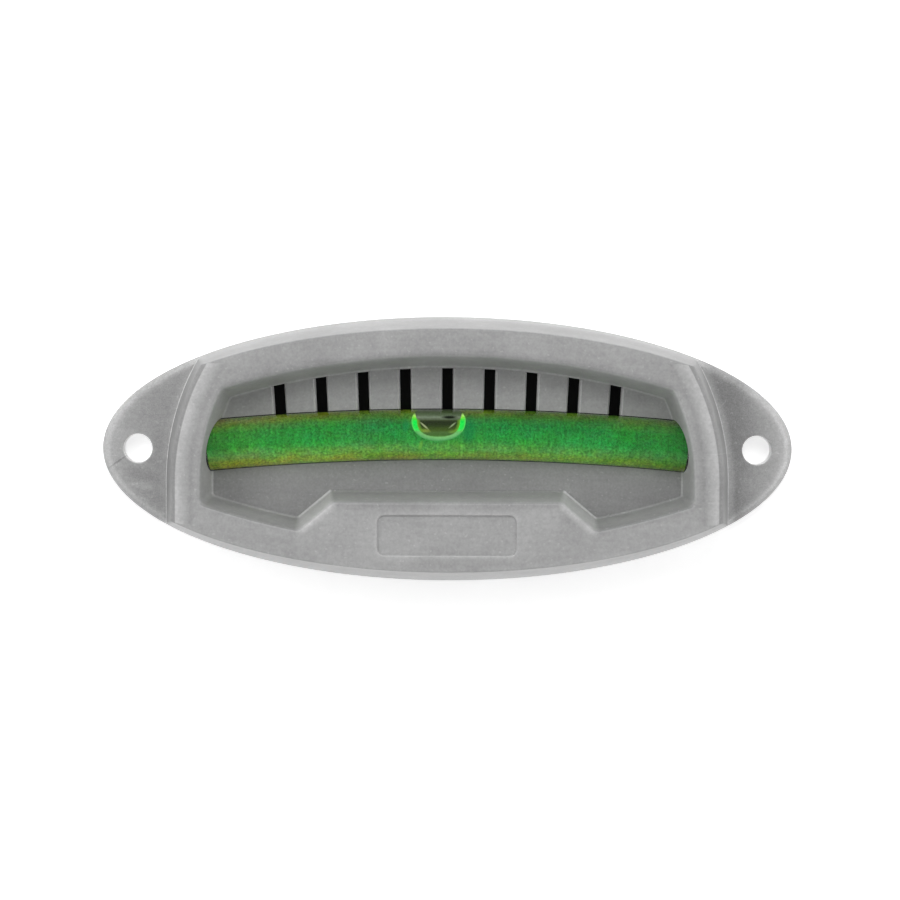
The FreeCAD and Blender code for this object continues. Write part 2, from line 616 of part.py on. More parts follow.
def make_housing():
    """The moulded front: a drafted lens-shaped shell with two ears, a sunk tray and the vial's seat."""
    housing = new_body("housing")
    lens_form(housing, [(BACK, "0"), (FRONT, "0")])
    beyond_steps(housing, "Subtractive", STEP_OUTLINES)
    combine(housing, "Fuse", "ears", [make_ears()])
    combine(housing, "Cut", "hollow", [make_hollow(), make_cover_rebate()])

    block_growth = "(dims.wall - (dims.tray_depth + dims.floor_thickness) * tan(dims.tray_draft))"
    tray_form(housing, "Additive", "tray_block", FLOOR_REAR, block_growth, FRONT, "dims.wall")
    for name, tabs, reach in (
        ("shelf_sockets", SHELF_TABS, "dims.body_depth - dims.wall / 2"),
        ("tray_sockets", TRAY_TABS, f"{FLOOR_REAR} + dims.floor_thickness / 2"),
    ):
        sketch = front_sketch(housing, f"{name}_sketch", "dims.cover_thickness")
        tab_pair(sketch, *tabs, growth="(dims.tab_clearance + dims.socket_wall)")
        extrude(housing, "Pad", name, sketch, f"{reach} - dims.cover_thickness")

    tray_form(housing, "Subtractive", "tray", FLOOR_FRONT, FLOOR_GROWTH, FRONT, "0")
    floor_y = -value_of(FLOOR_FRONT)
    front_y = -value_of(FRONT)
    inside = value_of(f"{STEP_CENTRE} + {TRAY_SIDE} + dims.strip_width / 2")

    def is_tray_corner(edge):
        ends = [min(v.Point.y for v in edge.Vertexes), max(v.Point.y for v in edge.Vertexes)]
        spans_wall = abs(ends[0] - front_y) < 0.01 and abs(ends[1] - floor_y) < 0.01
        is_inside = abs(middle_of(edge).x) < inside
        return spans_wall and is_inside and not is_smooth(housing.Tip.Shape, edge)

    dress_edges(housing, "Fillet", "tray_corners", "dims.tray_corner", is_tray_corner)
    dress_edges(
        housing,
        "Chamfer",
        "tray_edge",
        "dims.tray_edge",
        lambda edge: lies_at(edge, FRONT) and in_tray_rim(housing.Tip.Shape, edge),
    )

    seat = vial_sketch(housing, "seat_sketch", SEAT_RADIUS)
    bend_along(housing, "Groove", "vial_seat", seat, f"2 * {SEAT_HALF_ANGLE}")
    entry = front_sketch(housing, "entry_sketch", BACK)
    length = f"({VIAL_LENGTH} + 2 * dims.vial_clearance)"
    upper = f"(dims.vial_curve + {SEAT_RADIUS})"
    lower = f"(dims.vial_curve - {SEAT_RADIUS})"
    band(entry, BEND_CENTRE, upper, BEND_CENTRE, lower, length)
    extrude(housing, "Pocket", "vial_entry", entry, FLOOR_FRONT)
    combine(housing, "Cut", "tick_slots", [make_tick_slots()])

    panel = front_sketch(housing, "panel_sketch", FRONT)
    panel_length = "(dims.shelf_length - 2 * dims.panel_margin)"
    panel_rise = "(0 - dims.shelf_drop - dims.panel_gap - dims.panel_height / 2)"
    rectangle(panel, "0", panel_rise, panel_length, "dims.panel_height")
    extrude(housing, "Pocket", "panel", panel, "dims.panel_sink", towards_viewer=False)
    panel_end = value_of(panel_length) / 2

    def is_panel_corner(edge):
        middle = middle_of(edge)
        upright = abs(edge.Length - size["panel_sink"]) < 0.01
        at_front = middle.y < front_y + size["panel_sink"]
        return upright and at_front and abs(abs(middle.x) - panel_end) < 0.01

    dress_edges(housing, "Fillet", "panel_corners", "dims.panel_corner", is_panel_corner)

    holes = front_sketch(housing, "screw_hole_sketch", "dims.ear_depth")
    circle_pair(holes, HOLE_SPACING, "0", "dims.hole_diameter")
    extrude(housing, "Pocket", "screw_holes", holes, "dims.ear_depth", towards_viewer=False)
    sockets = front_sketch(housing, "socket_sketch", "dims.cover_thickness")
    for tabs in (SHELF_TABS, TRAY_TABS):
        tab_pair(sockets, *tabs, growth="dims.tab_clearance")
    extrude(housing, "Pocket", "sockets", sockets, "dims.tab_reach + dims.tab_clearance")
    return housing


def is_smooth(shape, edge):
    """Whether the two faces at an edge run into each other without a corner."""
    middle = middle_of(edge)
    normals = []
    for face in shape.ancestorsOfType(edge, Part.Face):
        u, v = face.Surface.parameter(middle)
        normals.append(face.normalAt(u, v))
    return len(normals) == 2 and abs(normals[0].dot(normals[1])) > 0.999


def in_tray_rim(shape, edge):
    """Whether an edge of the front face goes round the tray and not round the housing."""
    front = next(face for face in shape.Faces if lies_flat_at_front(face))
    inner_wires = [wire for wire in front.Wires if not wire.isSame(front.OuterWire)]
    return any(edge.isSame(other) for wire in inner_wires for other in wire.Edges)


def lies_flat_at_front(face):
    return all(abs(vertex.Point.y + value_of(FRONT)) < 0.01 for vertex in face.Vertexes)


def make_back_cover():
    """The black moulded cover: two saddles for the vial, ribs behind the strip, and locating tabs."""
    cover = new_body("back_cover")
    inset = "(dims.wall - dims.cover_ledge + dims.cover_clearance)"
    raised_form(cover, inset, "dims.cover_thickness")

    saddle = front_sketch(cover, "saddle_sketch", "dims.cover_thickness")
    across = f"({VIAL_LENGTH} / 2 + (dims.saddle_stop - dims.saddle_grip) / 2)"
    rise = f"({BEND_CENTRE} + dims.vial_curve * cos({VIAL_HALF_ANGLE}))"
    rectangle(saddle, across, rise, "(dims.saddle_stop + dims.saddle_grip)", "dims.saddle_height")
    block = extrude(cover, "Pad", "saddle", saddle, "dims.saddle_reach")
    mirror(cover, "saddles", block)
    hollow = vial_sketch(cover, "saddle_hollow_sketch", SEAT_RADIUS)
    bend_along(cover, "Groove", "saddle_hollow", hollow, f"2 * {SEAT_HALF_ANGLE}")

    rib_sketch = front_sketch(cover, "rib_sketch", "dims.cover_thickness")
    first_rib = f"(dims.rib_inset - {BACKING_LENGTH} / 2)"
    rib_rise = f"(dims.vial_rise + {VIAL_RADIUS} + dims.rib_gap + dims.rib_height / 2)"
    rectangle(rib_sketch, first_rib, rib_rise, "dims.rib_thickness", "dims.rib_height")
    reach = f"{FLOOR_REAR} - dims.backing_thickness - dims.cover_thickness"
    rib = extrude(cover, "Pad", "rib", rib_sketch, reach)
    ribs = cover.newObject("PartDesign::LinearPattern", "ribs")
    ribs.Originals = [rib]
    ribs.Direction = (rib_sketch, ["H_Axis"])
    ribs.setExpression("Length", f"{BACKING_LENGTH} - 2 * dims.rib_inset")
    ribs.setExpression("Occurrences", "dims.rib_count")
    set_tip(cover, ribs)

    tab_sketch = front_sketch(cover, "tab_sketch", "dims.cover_thickness")
    for tabs in (SHELF_TABS, TRAY_TABS):
        tab_pair(tab_sketch, *tabs)
    extrude(cover, "Pad", "tabs", tab_sketch, "dims.tab_reach")
    return cover


def make_scale_backing():
    """The black strip against the rear of the tray's floor, which shows through the tick slots."""
    strip = new_body("scale_backing")
    sketch = front_sketch(strip, "strip_sketch", FLOOR_REAR)
    top = f"({TICK_LINE_RADIUS} + dims.backing_margin)"
    bottom = f"(dims.vial_curve + {VIAL_RADIUS})"
    band(sketch, TICK_LINE_CENTRE, top, BEND_CENTRE, bottom, BACKING_LENGTH)
    extrude(strip, "Pad", "strip", sketch, "dims.backing_thickness", towards_viewer=False)
    return strip


def make_vial():
    """The bent clear tube, and the stopper in each of its ends."""
    tube = new_body("vial_tube")
    ring = vial_sketch(tube, "tube_section", VIAL_RADIUS, "(dims.vial_bore / 2)")
    bend_along(tube, "Revolution", "tube", ring, f"2 * {VIAL_HALF_ANGLE}")
    pieces = [tube]
    for hand, end in (("left", f"-1 * {VIAL_HALF_ANGLE}"), ("right", VIAL_HALF_ANGLE)):
        plug = new_body(f"vial_plug_{hand}")
        disc = vial_sketch(plug, "plug_section", FILL_RADIUS, turn=end)
        stopper = straight_along(plug, disc, "dims.plug_length")
        stopper.Reversed = hand == "right"
        pieces.append(plug)
    return pieces


def make_liquid():
    """The liquid that fills the vial between the stoppers, with the hollow that the bubble is in."""
    liquid = new_body("vial_liquid")
    disc = vial_sketch(liquid, "liquid_section", FILL_RADIUS)
    bend_along(liquid, "Revolution", "filling", disc, f"2 * ({VIAL_HALF_ANGLE} - {PLUG_ANGLE})")
    bubble_form(liquid, "Groove", "dims.bubble_clearance")
    return liquid


def make_bubble():
    """The air bubble: rounded below, and flattened above where it rises against the vial's bore."""
    bubble = new_body("air_bubble")
    bubble_form(bubble, "Revolution", "0")
    bore = new_body("bore_tool")
    roof = "(dims.vial_bore / 2 - dims.bubble_clearance)"
    disc = vial_sketch(bore, "bore_section", roof, turn="dims.bubble_angle")
    straight_along(bore, disc, "2 * dims.bubble_length", both_ways=True)
    combine(bubble, "Common", "flattened", [bore])
    return bubble


pieces = [make_housing(), make_back_cover(), make_scale_backing()]
pieces += [*make_vial(), make_liquid(), make_bubble()]
doc.recompute()

for item in doc.Objects:
    if "Invalid" in item.State or "Error" in item.State:
        raise RuntimeError(f"{item.Name} ({item.Label}) did not compute: {item.State}")
for piece in pieces:
    if piece.Shape.isNull() or not piece.Shape.isValid():
        raise RuntimeError(f"{piece.Label} has no valid shape")

os.makedirs("parts", exist_ok=True)
for piece in pieces:
    piece.Shape.exportStep(f"parts/{piece.Label}.step")
    print(f"{piece.Label}: {len(piece.Shape.Solids)} solid, {piece.Shape.Volume:.1f} mm3")
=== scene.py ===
from math import asin, atan2, cos, pi, radians, sin, sqrt, tan, tau

import bmesh
import bpy
from mathutils import Matrix, Vector
from mathutils.kdtree import KDTree


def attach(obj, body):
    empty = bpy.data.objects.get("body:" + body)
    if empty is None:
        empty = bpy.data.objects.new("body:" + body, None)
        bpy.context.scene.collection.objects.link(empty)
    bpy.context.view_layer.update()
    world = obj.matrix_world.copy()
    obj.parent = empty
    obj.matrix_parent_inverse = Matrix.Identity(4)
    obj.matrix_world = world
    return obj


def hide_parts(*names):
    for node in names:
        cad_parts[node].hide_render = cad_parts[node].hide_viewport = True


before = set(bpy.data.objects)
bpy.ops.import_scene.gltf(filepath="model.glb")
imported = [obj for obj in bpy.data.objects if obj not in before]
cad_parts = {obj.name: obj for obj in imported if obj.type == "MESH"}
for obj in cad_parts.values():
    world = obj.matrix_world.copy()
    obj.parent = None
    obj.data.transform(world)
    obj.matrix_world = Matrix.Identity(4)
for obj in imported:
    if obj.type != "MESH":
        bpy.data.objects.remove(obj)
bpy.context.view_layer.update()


# Housing: one injection moulding in grey polypropylene, with two screw ears, a sunk tray, a shelf
# and nine tick slots. Every side leans by the mould's draft, the steps and the tray's rim are
# softly rounded, and the lens-shaped front keeps a crisp rim. Two screws hold it to a wall.
MM = 0.001
LENGTH, HEIGHT, DEPTH = 132.0, 50.5, 15.0
WALL, WALL_DRAFT = 2.0, radians(9.5)
EAR_DEPTH, EAR_ROUNDING = 3.0, 1.0
RIM_ROUNDING, STEP_ROUNDING, STEP_FILLET = 0.35, 1.5, 0.22
STEP_CENTRE, STEP_RADIUS, STEP_SWEEP = Vector((6.5, -6.0)), 47.0, radians(40)
HOLE_PLACE, HOLE_RADIUS, HOLE_ROUNDING = 59.0, 2.75, 0.3
TRAY_DEPTH, TRAY_DRAFT, FLOOR_THICKNESS = 7.7, radians(12), 2.2
TRAY_CURVE, TRAY_REACH, TRAY_SIDE = 146.0, 17.54, 39.69
TRAY_ROUNDING, TRAY_FILLET = 0.8, 0.45
FLOOR_CORNER, CORNER_WIDENING, BLOCK_CORNER = 0.7, 1.1, 0.9
SHELF_DROP, SHELF_LENGTH, SHELF_SLOPE = 9.6, 42.8, radians(40)
PANEL_LENGTH, PANEL_HEIGHT, PANEL_GAP, PANEL_SINK = 26.0, 7.6, 2.5, 0.4
PANEL_ROUNDING, PANEL_DRAFT, PANEL_BAND = 0.3, 0.3, 0.5
PANEL_FOOT, PANEL_CORNERS = ((-0.25, 1.2, 0.0), (-0.08, 1.4, 0.06)), (1.6, 2.0)
COVER_THICKNESS, COVER_LEDGE = 1.5, 0.8
VIAL_CURVE, VIAL_RISE, VIAL_RADIUS, VIAL_HALF_LENGTH = 458.5, 2.9, 4.75, 49.0
SEAT_CLEARANCE, SEAT_END_CLEARANCE, SEAT_OVERRUN, SLOT_OVERRUN = 0.12, 0.15, 1.0, 0.5
TICKS, TICK_TURN, TICK_WIDTH, TICK_FLARE = 9, radians(0.977), 2.0, 0.42
TICK_MARGIN, TICK_LINE_FLATTENING = 0.5, 14.0

# How finely each curve is divided, and the limits for what is searched: a place past a step's ends,
# the halvings that find them, the last stretch of a curve, and a gap that counts as none.
ARC_STEPS, STEP_STEPS, EAR_STEPS, TRAY_STEPS, ROUND_STEPS = 110, 26, 44, 22, 7
FILLET_STEPS, FOOT_STEPS, PANEL_STEPS, SEAT_STEPS, HOLE_SIDES = 3, 5, 4, 32, 48
FAR_ALONG, HALVINGS, CURVE_END, TOUCHING = 60.0, 40, 0.02, 0.001

# How much paler (above 0) or darker the plastic is painted at its edges, walls and feet. This is
# painted
# light and shade: pale edges and feet stand for light caught there, dark walls for shade. Pairs are
# for the right and the left, but a side's are for its foot and its top. The tray's eight are for its
# sides in the order right, top, left, low left, slant, shelf, slant and low right.
STEP_EDGE_TONES, STEP_ROUND_TONES, STEP_BAND_TONES = (0.29, 0.33), (-0.19, -0.22), (-0.19, -0.14)
STEP_WALL_TONES, STEP_FOOT_TONES = (-0.17, -0.3), (0.45, 0.62)
EAR_EDGE_TONES, EAR_FOOT_TONE, HOLE_WALL_TONE, SLOT_SIDE_TONE = (0.5, 0.35), -0.25, 1.5, 1.0
RIM_LINE_TONE, RIM_BAND_TONE, PANEL_EDGE_TONE = -0.17, -0.06, 0.1
HIGH_SIDE_TONES, LOW_SIDE_TONES = (0.0, -0.11), (0.35, 0.23)
HIGH_FLOOR_TONE, LOW_FLOOR_TONE = -0.06, -0.29
TRAY_BAND_TONES = (-0.19, -0.1, -0.15, -0.02, 0.0, 0.0, -0.08, -0.08)
TRAY_RIM_TONES = (-0.08, -0.22, -0.04, -0.1, 0.3, -0.15, 0.2, -0.17)
TRAY_ROUND_TONES = (0.05, -0.14, 0.05, -0.39, 0.04, -0.31, 0.04, -0.44)
TRAY_WALL_TONES = (-0.17, 0.12, 0.03, -0.28, 0.04, -0.32, 0.08, -0.28)
TRAY_FOOT_TONES = (0.02, 0.15, 0.12, -0.2, 0.3, -0.4, 0.25, -0.2)

# How wide these tones fade out, and which share of a fillet, a rounding or a side they cover.
EAR_BANDS, STEP_BAND, RIM_BAND, TRAY_BAND = (0.7, 1.6), 2.3, 0.8, 0.9
FOOT_SHARE, ROUND_SHARE, EDGE_LINE, SIDE_SHARE = 0.8, 0.9, 0.08, 0.5


def evenly(start, end, steps):
    """Even values from start to end, both among them."""
    return [start + (end - start) * number / steps for number in range(steps + 1)]


def set_back(depth, front, draft, radius):
    """How far a rounded rim stands back from its straight leaning side, at a depth."""
    rise = (depth - front + radius) / radius
    if rise <= sin(draft):
        return 0.0
    turn = asin(min(rise, 1.0))
    return radius / cos(draft) - radius * cos(turn) - radius * rise * tan(draft)


def rounding_depths(front, draft, radius):
    """Depths of the loops that make a rounding, from its leaning side to the flat in front."""
    return [front - radius + radius * sin(turn) for turn in evenly(draft, pi / 2, ROUND_STEPS)]


def fillet_reach(depth, foot, draft, radius):
    """How far a fillet at a wall's foot stands out from the leaning wall, at a depth."""
    share = 1 - (depth - foot) / radius
    if share <= sin(draft):
        return 0.0
    turn = asin(min(share, 1.0))
    start = radius * (1 - sin(draft)) / cos(draft)
    return start - radius * cos(turn) + (depth - foot) * tan(draft)


def fillet_depths(foot, draft, radius, steps):
    """Depths of the loops that make a fillet, from the flat at its foot up to the leaning wall."""
    return [foot + radius - radius * sin(turn) for turn in evenly(pi / 2, draft, steps)]


def lens_reach(depth, inset):
    """Half length and half height of the housing's ellipse at a depth."""
    lean = inset + depth * tan(WALL_DRAFT)
    return LENGTH / 2 - lean, HEIGHT / 2 - lean


def lens_arc(depth, inset, start, end, steps):
    """Points along the housing's ellipse, from one angle to another, both ends among them."""
    across, up = lens_reach(depth, inset)
    return [Vector((across * cos(turn), up * sin(turn))) for turn in evenly(start, end, steps)]


def step_point(depth, inset, along):
    """A point of the right-hand step: upright to its bend, then round an arc, then straight on."""
    radius = STEP_RADIUS - inset - (depth - EAR_DEPTH) * tan(WALL_DRAFT)
    turn = min(max(along / radius, 0.0), STEP_SWEEP)
    onward = Vector((-sin(turn), cos(turn))) * (along - turn * radius)
    return STEP_CENTRE + Vector((cos(turn), sin(turn))) * radius + onward


def step_end(depth, lens_inset, step_inset, way):
    """How far along the step meets the ellipse, above (way 1) or below (way -1) its bend."""
    across, up = lens_reach(depth, lens_inset)
    inside, outside = 0.0, FAR_ALONG * way
    for _ in range(HALVINGS):
        middle = (inside + outside) / 2
        point = step_point(depth, step_inset, middle)
        if (point.x / across) ** 2 + (point.y / up) ** 2 < 1:
            inside = middle
        else:
            outside = middle
    return inside


def corner_angle(depth, lens_inset, step_inset, way):
    """The ellipse's angle at the corner where it meets the right-hand step."""
    across, up = lens_reach(depth, lens_inset)
    point = step_point(depth, step_inset, step_end(depth, lens_inset, step_inset, way))
    return atan2(point.y / up, point.x / across)


def mirrored(points):
    """The same points on the left, in the opposite order."""
    return [Vector((-point.x, point.y)) for point in reversed(points)]


# Along the step, the shares of its length at which each band of the ear meets its foot.
step_foot = -fillet_reach(EAR_DEPTH, EAR_DEPTH, WALL_DRAFT, STEP_FILLET)
ear_rim = set_back(EAR_DEPTH, EAR_DEPTH, WALL_DRAFT, EAR_ROUNDING)
ear_insets = [ear_rim, *(ear_rim + band for band in EAR_BANDS)]
low_marks, high_marks = (
    [step_end(EAR_DEPTH, inset, step_foot, way) for inset in (0, *ear_insets)] for way in (-1, 1)
)
even = (high_marks[-1] - low_marks[-1]) / STEP_STEPS
between = [low_marks[-1] + even * number for number in range(1, STEP_STEPS)]
whole = high_marks[0] - low_marks[0]
step_shares = [(mark - low_marks[0]) / whole for mark in (*low_marks, *between, *high_marks[::-1])]


def step_line(depth, lens_inset, step_inset):
    """Points up the right-hand step, in the same shares of its length at any depth."""
    low, high = (step_end(depth, lens_inset, step_inset, way) for way in (-1, 1))
    return [step_point(depth, step_inset, low + (high - low) * share) for share in step_shares]


def raised_outline(depth, lens_inset=0.0, step_inset=0.0):
    """The raised middle's outline: right step, top, left step and bottom, one after the other."""
    right = step_line(depth, lens_inset, step_inset)
    low, high = (corner_angle(depth, lens_inset, step_inset, way) for way in (-1, 1))
    top = lens_arc(depth, lens_inset, high, pi - high, ARC_STEPS)
    bottom = lens_arc(depth, lens_inset, -pi - low, low, ARC_STEPS)
    return right + top[1:-1] + mirrored(right) + bottom[1:-1]


def straight(start, end):
    """A straight line as a curve, which gives the point at any share of its length."""
    return lambda share: start.lerp(end, share)


def round_centre(centre, start, end):
    """The curve along the circle round centre, from start to end the short way."""
    first = start - centre
    turn = (end - centre).angle_signed(first)
    return lambda share: centre + Matrix.Rotation(turn * share, 2) @ first


def rounded_outline(curves, radius, steps):
    """A closed outline through curves that meet at corners, each corner rounded."""
    cuts = []
    for before, after in zip(curves[-1:] + curves[:-1], curves):
        arrive, leave = before(1.0) - before(1 - CURVE_END), after(CURVE_END) - after(0.0)
        cuts.append(radius * tan(arrive.angle(leave) / 2))
    points = []
    pairs = zip(curves, curves[1:] + curves[:1], cuts, cuts[1:] + cuts[:1])
    for curve, following, cut, next_cut in pairs:
        length = (curve(1.0) - curve(0.0)).length
        first, last = cut / length, 1 - next_cut / length
        points += [curve(share) for share in evenly(first, last, steps)]
        start, corner = points[-1], curve(1.0)
        end = following(next_cut / (following(1.0) - following(0.0)).length)
        for number in range(1, ROUND_STEPS):
            share = number / ROUND_STEPS
            points.append(start.lerp(corner, share).lerp(corner.lerp(end, share), share))
    return points


def circles_meet(centre, radius, other_centre, other_radius):
    """The two points where two circles cross."""
    apart = other_centre - centre
    along = (apart.length_squared + radius**2 - other_radius**2) / (2 * apart.length)
    aside = sqrt(radius**2 - along**2)
    unit = apart.normalized()
    return [centre + unit * along + unit.orthogonal() * aside * way for way in (1, -1)]


def tray_outline(growth, radius):
    """The tray's outline, moved outward all round by growth, with its corners rounded."""
    top_centre = Vector((0, TRAY_REACH - TRAY_CURVE))
    bottom_centre = Vector((0, TRAY_CURVE - TRAY_REACH))
    curve, side = TRAY_CURVE + growth, TRAY_SIDE + growth
    top = max(circles_meet(top_centre, curve, STEP_CENTRE, side), key=lambda point: point.x)
    bend = STEP_CENTRE + Vector((side, 0))
    low = Vector((bend.x, bottom_centre.y - sqrt(curve**2 - bend.x**2)))
    shelf = Vector((SHELF_LENGTH / 2 - growth * tan(SHELF_SLOPE / 2), -SHELF_DROP - growth))
    fall = Vector((cos(SHELF_SLOPE), -sin(SHELF_SLOPE)))
    offset = shelf - bottom_centre
    reach = -offset.dot(fall) + sqrt(offset.dot(fall) ** 2 - offset.length_squared + curve**2)
    slant = shelf + fall * reach
    side_arc = round_centre(STEP_CENTRE, bend, top)
    upright = (bend.y - low.y) / (bend.y - low.y + (top - bend).length)

    def right_side(share):
        if share < upright:
            return low.lerp(bend, share / upright)
        return side_arc((share - upright) / (1 - upright))

    def over(point):
        return Vector((-point.x, point.y))

    curves = [
        right_side,
        round_centre(top_centre, top, over(top)),
        lambda share: over(right_side(1 - share)),
        round_centre(bottom_centre, over(low), over(slant)),
        straight(over(slant), over(shelf)),
        straight(over(shelf), shelf),
        straight(shelf, slant),
        round_centre(bottom_centre, slant, low),
    ]
    return rounded_outline(curves, radius, TRAY_STEPS)


def tray_growth(depth):
    """How far out the tray's wall stands at a depth, with its rim and its foot rounded."""
    level = DEPTH - TRAY_DEPTH + TRAY_FILLET
    fall = (level - depth) / TRAY_FILLET
    if fall <= -sin(TRAY_DRAFT):
        eased = set_back(depth, DEPTH, TRAY_DRAFT, TRAY_ROUNDING)
        return (depth - DEPTH) * tan(TRAY_DRAFT) + eased
    wall = (level - DEPTH) * tan(TRAY_DRAFT)
    return wall - TRAY_FILLET / cos(TRAY_DRAFT) + TRAY_FILLET * cos(asin(min(fall, 1.0)))


def tray_corner(depth):
    """The tray's corners are sharper at its floor than at its rim."""
    return FLOOR_CORNER + CORNER_WIDENING * (depth - DEPTH + TRAY_DEPTH) / TRAY_DEPTH


def panel_outline(growth, radius):
    """The sunk panel's outline on the shelf, a plain rounded oblong."""
    half = Vector((PANEL_LENGTH / 2 + growth, PANEL_HEIGHT / 2 + growth))
    middle = Vector((0, -SHELF_DROP - PANEL_GAP - PANEL_HEIGHT / 2))
    ways = ((1, -1), (1, 1), (-1, 1), (-1, -1))
    corners = [middle + Vector((half.x * x, half.y * z)) for x, z in ways]
    sides = [straight(start, end) for start, end in zip(corners, corners[1:] + corners[:1])]
    return rounded_outline(sides, radius, PANEL_STEPS)


def circle(centre, radius):
    """A screw hole's outline, or one round it."""
    turns = evenly(0, tau, HOLE_SIDES)[:-1]
    return [centre + Vector((cos(turn), sin(turn))) * radius for turn in turns]


shell = bmesh.new()
toned_spots = []


def ring(outline, depth, tone=0.0):
    """An outline's vertices in the shell, at a depth. Their tones are kept for later."""
    row = [shell.verts.new((point.x, -depth, point.y)) for point in outline]
    tones = tone if isinstance(tone, list) else [tone] * len(row)
    toned_spots.extend((vertex.co.copy(), value) for vertex, value in zip(row, tones))
    return row


def skirt(mesh, lower, upper, closed=True):
    """A strip of faces between two rows of vertices."""
    for number in range(len(lower) if closed else len(lower) - 1):
        after = (number + 1) % len(lower)
        mesh.faces.new((lower[number], lower[after], upper[after], upper[number]))


def stack(mesh, rings):
    """Strips between each closed ring and the next."""
    for lower, upper in zip(rings, rings[1:]):
        skirt(mesh, lower, upper)


def flat(*rings):
    """Fills a flat of the shell that one ring bounds and the others pierce."""
    edges = []
    for loop in rings:
        for start, end in zip(loop, loop[1:] + loop[:1]):
            edges.append(shell.edges.get((start, end)) or shell.edges.new((start, end)))
    bmesh.ops.triangle_fill(shell, use_beauty=True, edges=edges, normal=(0, -1, 0))


# The raised middle's outside, from the ears' level to a band on the front.
step_count = len(step_shares)
left_start = step_count + ARC_STEPS - 1


def outline_tones(steps, high, low):
    """A tone for each point of the raised outline: the right and left steps have the pair's."""
    right, left, arc = [steps[0]] * step_count, [steps[1]] * step_count, ARC_STEPS - 1
    return right + [high] * arc + left + [low] * arc


levels = {
    *fillet_depths(EAR_DEPTH, WALL_DRAFT, STEP_FILLET, FILLET_STEPS),
    (EAR_DEPTH + DEPTH) / 2,
    *rounding_depths(DEPTH, WALL_DRAFT, STEP_ROUNDING),
    *rounding_depths(DEPTH, WALL_DRAFT, RIM_ROUNDING)[:-1],
}
sides = []
for depth in sorted(levels):
    lens_inset = set_back(depth, DEPTH, WALL_DRAFT, RIM_ROUNDING)
    step_inset = set_back(depth, DEPTH, WALL_DRAFT, STEP_ROUNDING)
    step_inset -= fillet_reach(depth, EAR_DEPTH, WALL_DRAFT, STEP_FILLET)
    outline = raised_outline(depth, lens_inset, step_inset)
    # Each loop's tones are painted light and shade: pale step edges and feet, darker step walls and
    # roundings, a paler low side and a dark line at the rim.
    risen = min(max((depth - DEPTH + STEP_ROUNDING) / STEP_ROUNDING, 0), 1)
    if depth == EAR_DEPTH:
        step_tones = (0.0, 0.0)
    elif depth < EAR_DEPTH + STEP_FILLET * FOOT_SHARE:
        step_tones = STEP_FOOT_TONES
    elif depth > DEPTH - EDGE_LINE:
        step_tones = STEP_EDGE_TONES
    else:
        pairs = zip(STEP_WALL_TONES, STEP_ROUND_TONES)
        step_tones = [low + (high - low) * risen for low, high in pairs]
    share = min((depth - EAR_DEPTH) / (DEPTH - EAR_DEPTH) / SIDE_SHARE, 1)
    pairs = (HIGH_SIDE_TONES, LOW_SIDE_TONES)
    high_tone, low_tone = (foot + (top - foot) * share for foot, top in pairs)
    if depth > DEPTH - RIM_ROUNDING:
        high_tone, low_tone = RIM_BAND_TONE if depth == DEPTH else RIM_LINE_TONE, 0.0
    sides.append(ring(outline, depth, outline_tones(step_tones, high_tone, low_tone)))
rim, step = (set_back(DEPTH, DEPTH, WALL_DRAFT, radius) for radius in (RIM_ROUNDING, STEP_ROUNDING))
band_tones = outline_tones(STEP_BAND_TONES, RIM_BAND_TONE, RIM_BAND_TONE)
sides.append(ring(raised_outline(DEPTH, rim + RIM_BAND, step + STEP_BAND), DEPTH, band_tones))
stack(shell, sides)

# Below the ears' level, the lens side runs down to the back plane.
right_foot, left_foot = sides[0][:step_count], sides[0][left_start : left_start + step_count]
ear_levels = [EAR_DEPTH - EAR_ROUNDING, *rounding_depths(EAR_DEPTH, WALL_DRAFT, EAR_ROUNDING)]
order = ("top", "left", "bottom", "right")
back_rows, level_rows = {}, {}
for depth, rows, ear_tone in ((0.0, back_rows, EAR_FOOT_TONE), (ear_levels[0], level_rows, 0.0)):
    low, high = (corner_angle(depth, 0, step_foot, way) for way in (-1, 1))
    for name, start, end, steps, tone in (
        ("top", high, pi - high, ARC_STEPS, 0.0),
        ("left", pi - high, pi - low, EAR_STEPS, ear_tone),
        ("bottom", -pi - low, low, ARC_STEPS, LOW_SIDE_TONES[0]),
        ("right", low, high, EAR_STEPS, ear_tone),
    ):
        rows[name] = ring(lens_arc(depth, 0, start, end, steps)[:-1], depth, tone)
    for name, following in zip(order, order[1:] + order[:1]):
        rows[name].append(rows[following][0])
for name in back_rows:
    skirt(shell, back_rows[name], level_rows[name], closed=False)
skirt(shell, level_rows["top"], sides[0][step_count - 1 : left_start + 1], closed=False)
bottom_row = [*sides[0][left_start + step_count - 1 :], sides[0][0]]
skirt(shell, level_rows["bottom"], bottom_row, closed=False)
